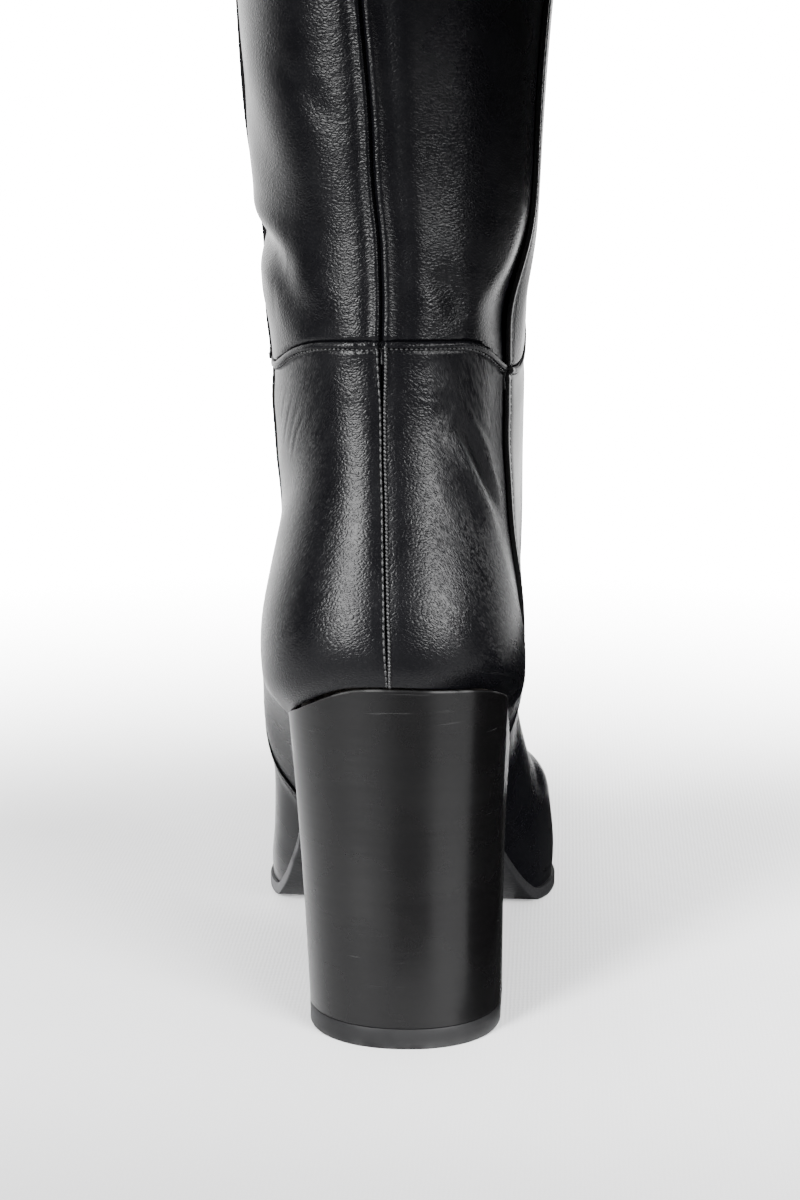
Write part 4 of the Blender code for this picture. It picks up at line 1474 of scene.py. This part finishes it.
def heel_outline(share, inset=0.0):
    """The D-shaped section at a share of the heel's height, clockwise from the breast's outer corner."""
    table = np.array(HEEL_SECTIONS)
    _, back_y, breast_y, outer, inner = spline(table[:, 0], table, share)[0]
    corner_y = breast_y - BREAST_ROUND
    y = back_y + (corner_y - back_y) * (1 - np.cos(np.linspace(0, math.pi / 2, HEEL_STEPS)))
    middle = (outer + inner) / 2
    ends = rounded_end(y - back_y, HEEL_ROUND, ROUNDING)
    out_side = np.stack([middle + (outer - middle) * ends, y], axis=1)
    in_side = np.stack([middle + (inner - middle) * ends, y], axis=1)
    turn_in = np.radians([18, 36, 54, 72, 90])
    in_x = inner - BREAST_ROUND * (1 - np.cos(turn_in))
    out_x = outer + BREAST_ROUND * (1 - np.cos(turn_in))
    corner_ys = corner_y + BREAST_ROUND * np.sin(turn_in)
    in_corner = np.stack([in_x, corner_ys], axis=1)
    out_corner = np.stack([out_x, corner_ys], axis=1)[::-1]
    breast_x = np.linspace(inner - BREAST_ROUND, outer + BREAST_ROUND, BREAST_STEPS)[1:-1]
    breast = np.stack([breast_x, np.full_like(breast_x, breast_y)], axis=1)
    outline = np.concatenate([out_side[::-1], in_side[1:], in_corner, breast, out_corner])
    if inset:
        ahead = np.roll(outline, -1, axis=0) - np.roll(outline, 1, axis=0)
        ahead /= np.linalg.norm(ahead, axis=1, keepdims=True)
        outline = outline + np.stack([-ahead[:, 1], ahead[:, 0]], axis=1) * inset
    return outline


HEEL_RISE = -0.85
COUNTER_REACH = 1.08


def seat_height(outline):
    """Height of the heel's rim, which follows the counter's lower edge round."""
    gone = travelled(np.column_stack([outline, np.zeros(len(outline))]))
    gone = np.abs(gone - gone[np.argmin(outline[:, 1])]) * COUNTER_REACH
    outer = seat_change(gone, OUTER_SIDE)
    inner = seat_change(gone, INNER_SIDE)
    return sole_height(outline[:, 1]) + HEEL_RISE + np.where(outline[:, 0] < 0, outer, inner)


TOP_PIECE = 6.0
HEEL_FOOT = TOP_PIECE + 0.25
HEEL_LEVELS = np.concatenate([[0.0], np.linspace(0.004, 0.98, 68), [0.985, 0.99, 0.995, 1.0]])
EASED_IN = 0.45
EASED_ON = 0.12


def heel_ring(level):
    """The heel's outline at a level, from 0 at the top piece to 1 at the seat."""
    outline = heel_outline(level)
    return np.column_stack([outline, HEEL_FOOT + (seat_height(outline) - HEEL_FOOT) * level])


def eased_ring(ring, level, way):
    """A last ring drawn in and carried on a little, up or down, so that the edge is eased."""
    height = ring[:, 2] + EASED_ON * way
    return np.column_stack([heel_outline(level, EASED_IN), height])


heel_rings = [heel_ring(level) for level in HEEL_LEVELS]
rim_ring = heel_rings[-1]
heel = wrap("heel_stack", [
    eased_ring(heel_rings[0], 0.0, -1), *heel_rings, eased_ring(rim_ring, 1.0, 1),
])
# The rim, marked for its wear and its painted highlight: a narrow band below the seat's edge all round.
RIM_BAND = 0.5
heel_places = np.array([v.co[:] for v in heel.data.vertices]) / MM
rim_turn = np.arctan2(rim_ring[:, 0], rim_ring[:, 1])
rim_order = np.argsort(rim_turn)
heel_turn = np.arctan2(heel_places[:, 0], heel_places[:, 1])
rim_height = np.interp(heel_turn, rim_turn[rim_order], rim_ring[rim_order, 2])
below_seat = rim_height - heel_places[:, 2]
heel_rim = heel.data.attributes.new("rim", "FLOAT", "POINT")
heel_rim.data.foreach_set("value", (1 - smooth_step(below_seat, 0.0, RIM_BAND)).astype(np.float32))

STACK_DARK = (0.0008, 0.0008, 0.0009, 1.0)
STACK_PALE = (0.0016, 0.0015, 0.0016, 1.0)
SCRATCH_GREY = (0.10, 0.10, 0.10, 1.0)
RIM_WEAR_AND_HIGHLIGHT_GREY = (0.040, 0.040, 0.040, 1.0)
SCRATCH_SHARE = 0.07
stacked_heel, stack, stack_shader = start_material("stacked_heel")
stack_place = own_place(stack)
stack_lines = noise(stack, laid(stack, stack_place, 0.0, (9.0, 9.0, 420.0)), 1.0, 4.0)
stack_cloud = noise(stack, stack_place, 45.0, 5.0)
stack_scratch = noise(stack, laid(stack, stack_place, 0.0, (60.0, 60.0, 1500.0)), 1.0, 2.0)
stack_scratches = ramp(stack, stack_scratch, 0.71, 0.80)
stack_tone = mixed(stack, stack_lines, STACK_DARK, STACK_PALE)
stack_marked = mixed(stack, calc(stack, "MULTIPLY", stack_scratches, SCRATCH_SHARE), stack_tone, SCRATCH_GREY)
# Painted highlight and wear: the rim's grey comes in patches along the seat's edge.
stack_wear_and_highlight = ramp(stack, noise(stack, stack_place, 110.0, 3.0), 0.48, 0.70, 0.12, 1.0)
stack_rim_wear_and_highlight = calc(stack, "MULTIPLY", own_mark(stack, "rim"), stack_wear_and_highlight)
stack_rough = ramp(stack, stack_cloud, *CLOUD, 0.24, 0.30)
dress(
    stack_shader,
    colour=mixed(stack, stack_rim_wear_and_highlight, stack_marked, RIM_WEAR_AND_HIGHLIGHT_GREY),
    roughness=calc(stack, "ADD", stack_rough, calc(stack, "MULTIPLY", stack_scratches, 0.08)),
    specular=0.19,
    height=calc(stack, "ADD", stack_lines, calc(stack, "MULTIPLY", stack_scratches, -0.15)),
    relief=0.00006,
)
set_material(heel, stacked_heel)
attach(heel, "root")
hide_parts("heel_block")


# ---------------------------------------------------------------- top piece
# The rubber wearing piece nailed and glued under the heel: same outline, dull, dusty, slightly worn.
# Its rings from the floor up: how far each is drawn in, and its height.
TOP_PIECE_RINGS = [
    (0.7, 0.0), (0.25, 0.12), (0.0, 0.6), (0.0, 2.0), (0.0, 4.0), (0.0, 5.5), (0.1, 5.9), (0.4, TOP_PIECE),
]
top_piece_rings = []
for inset, height in TOP_PIECE_RINGS:
    outline = heel_outline(0.0, inset)
    top_piece_rings.append(np.column_stack([outline, np.full(len(outline), height)]))
top_piece = wrap("top_piece", top_piece_rings)

RUBBER_BLACK = (0.0040, 0.0040, 0.0043, 1.0)
RUBBER_DUSTY = (0.016, 0.016, 0.016, 1.0)
top_piece_rubber, rubber, rubber_shader = start_material("top_piece_rubber")
rubber_place = own_place(rubber)
rubber_cloud = noise(rubber, rubber_place, 120.0, 6.0)
rubber_low = ramp(rubber, part_of(rubber, rubber_place, "Z"), 0.0, 0.003, 1.0, 0.15)
rubber_dust = calc(rubber, "MULTIPLY", rubber_low, ramp(rubber, rubber_cloud, 0.35, 0.7))
dress(
    rubber_shader,
    colour=mixed(rubber, rubber_dust, RUBBER_BLACK, RUBBER_DUSTY),
    roughness=ramp(rubber, rubber_cloud, *CLOUD, 0.42, 0.55),
    specular=0.11,
    height=rubber_cloud,
    relief=0.00010,
)
set_material(top_piece, top_piece_rubber)
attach(top_piece, "root")
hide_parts("heel_top_piece")
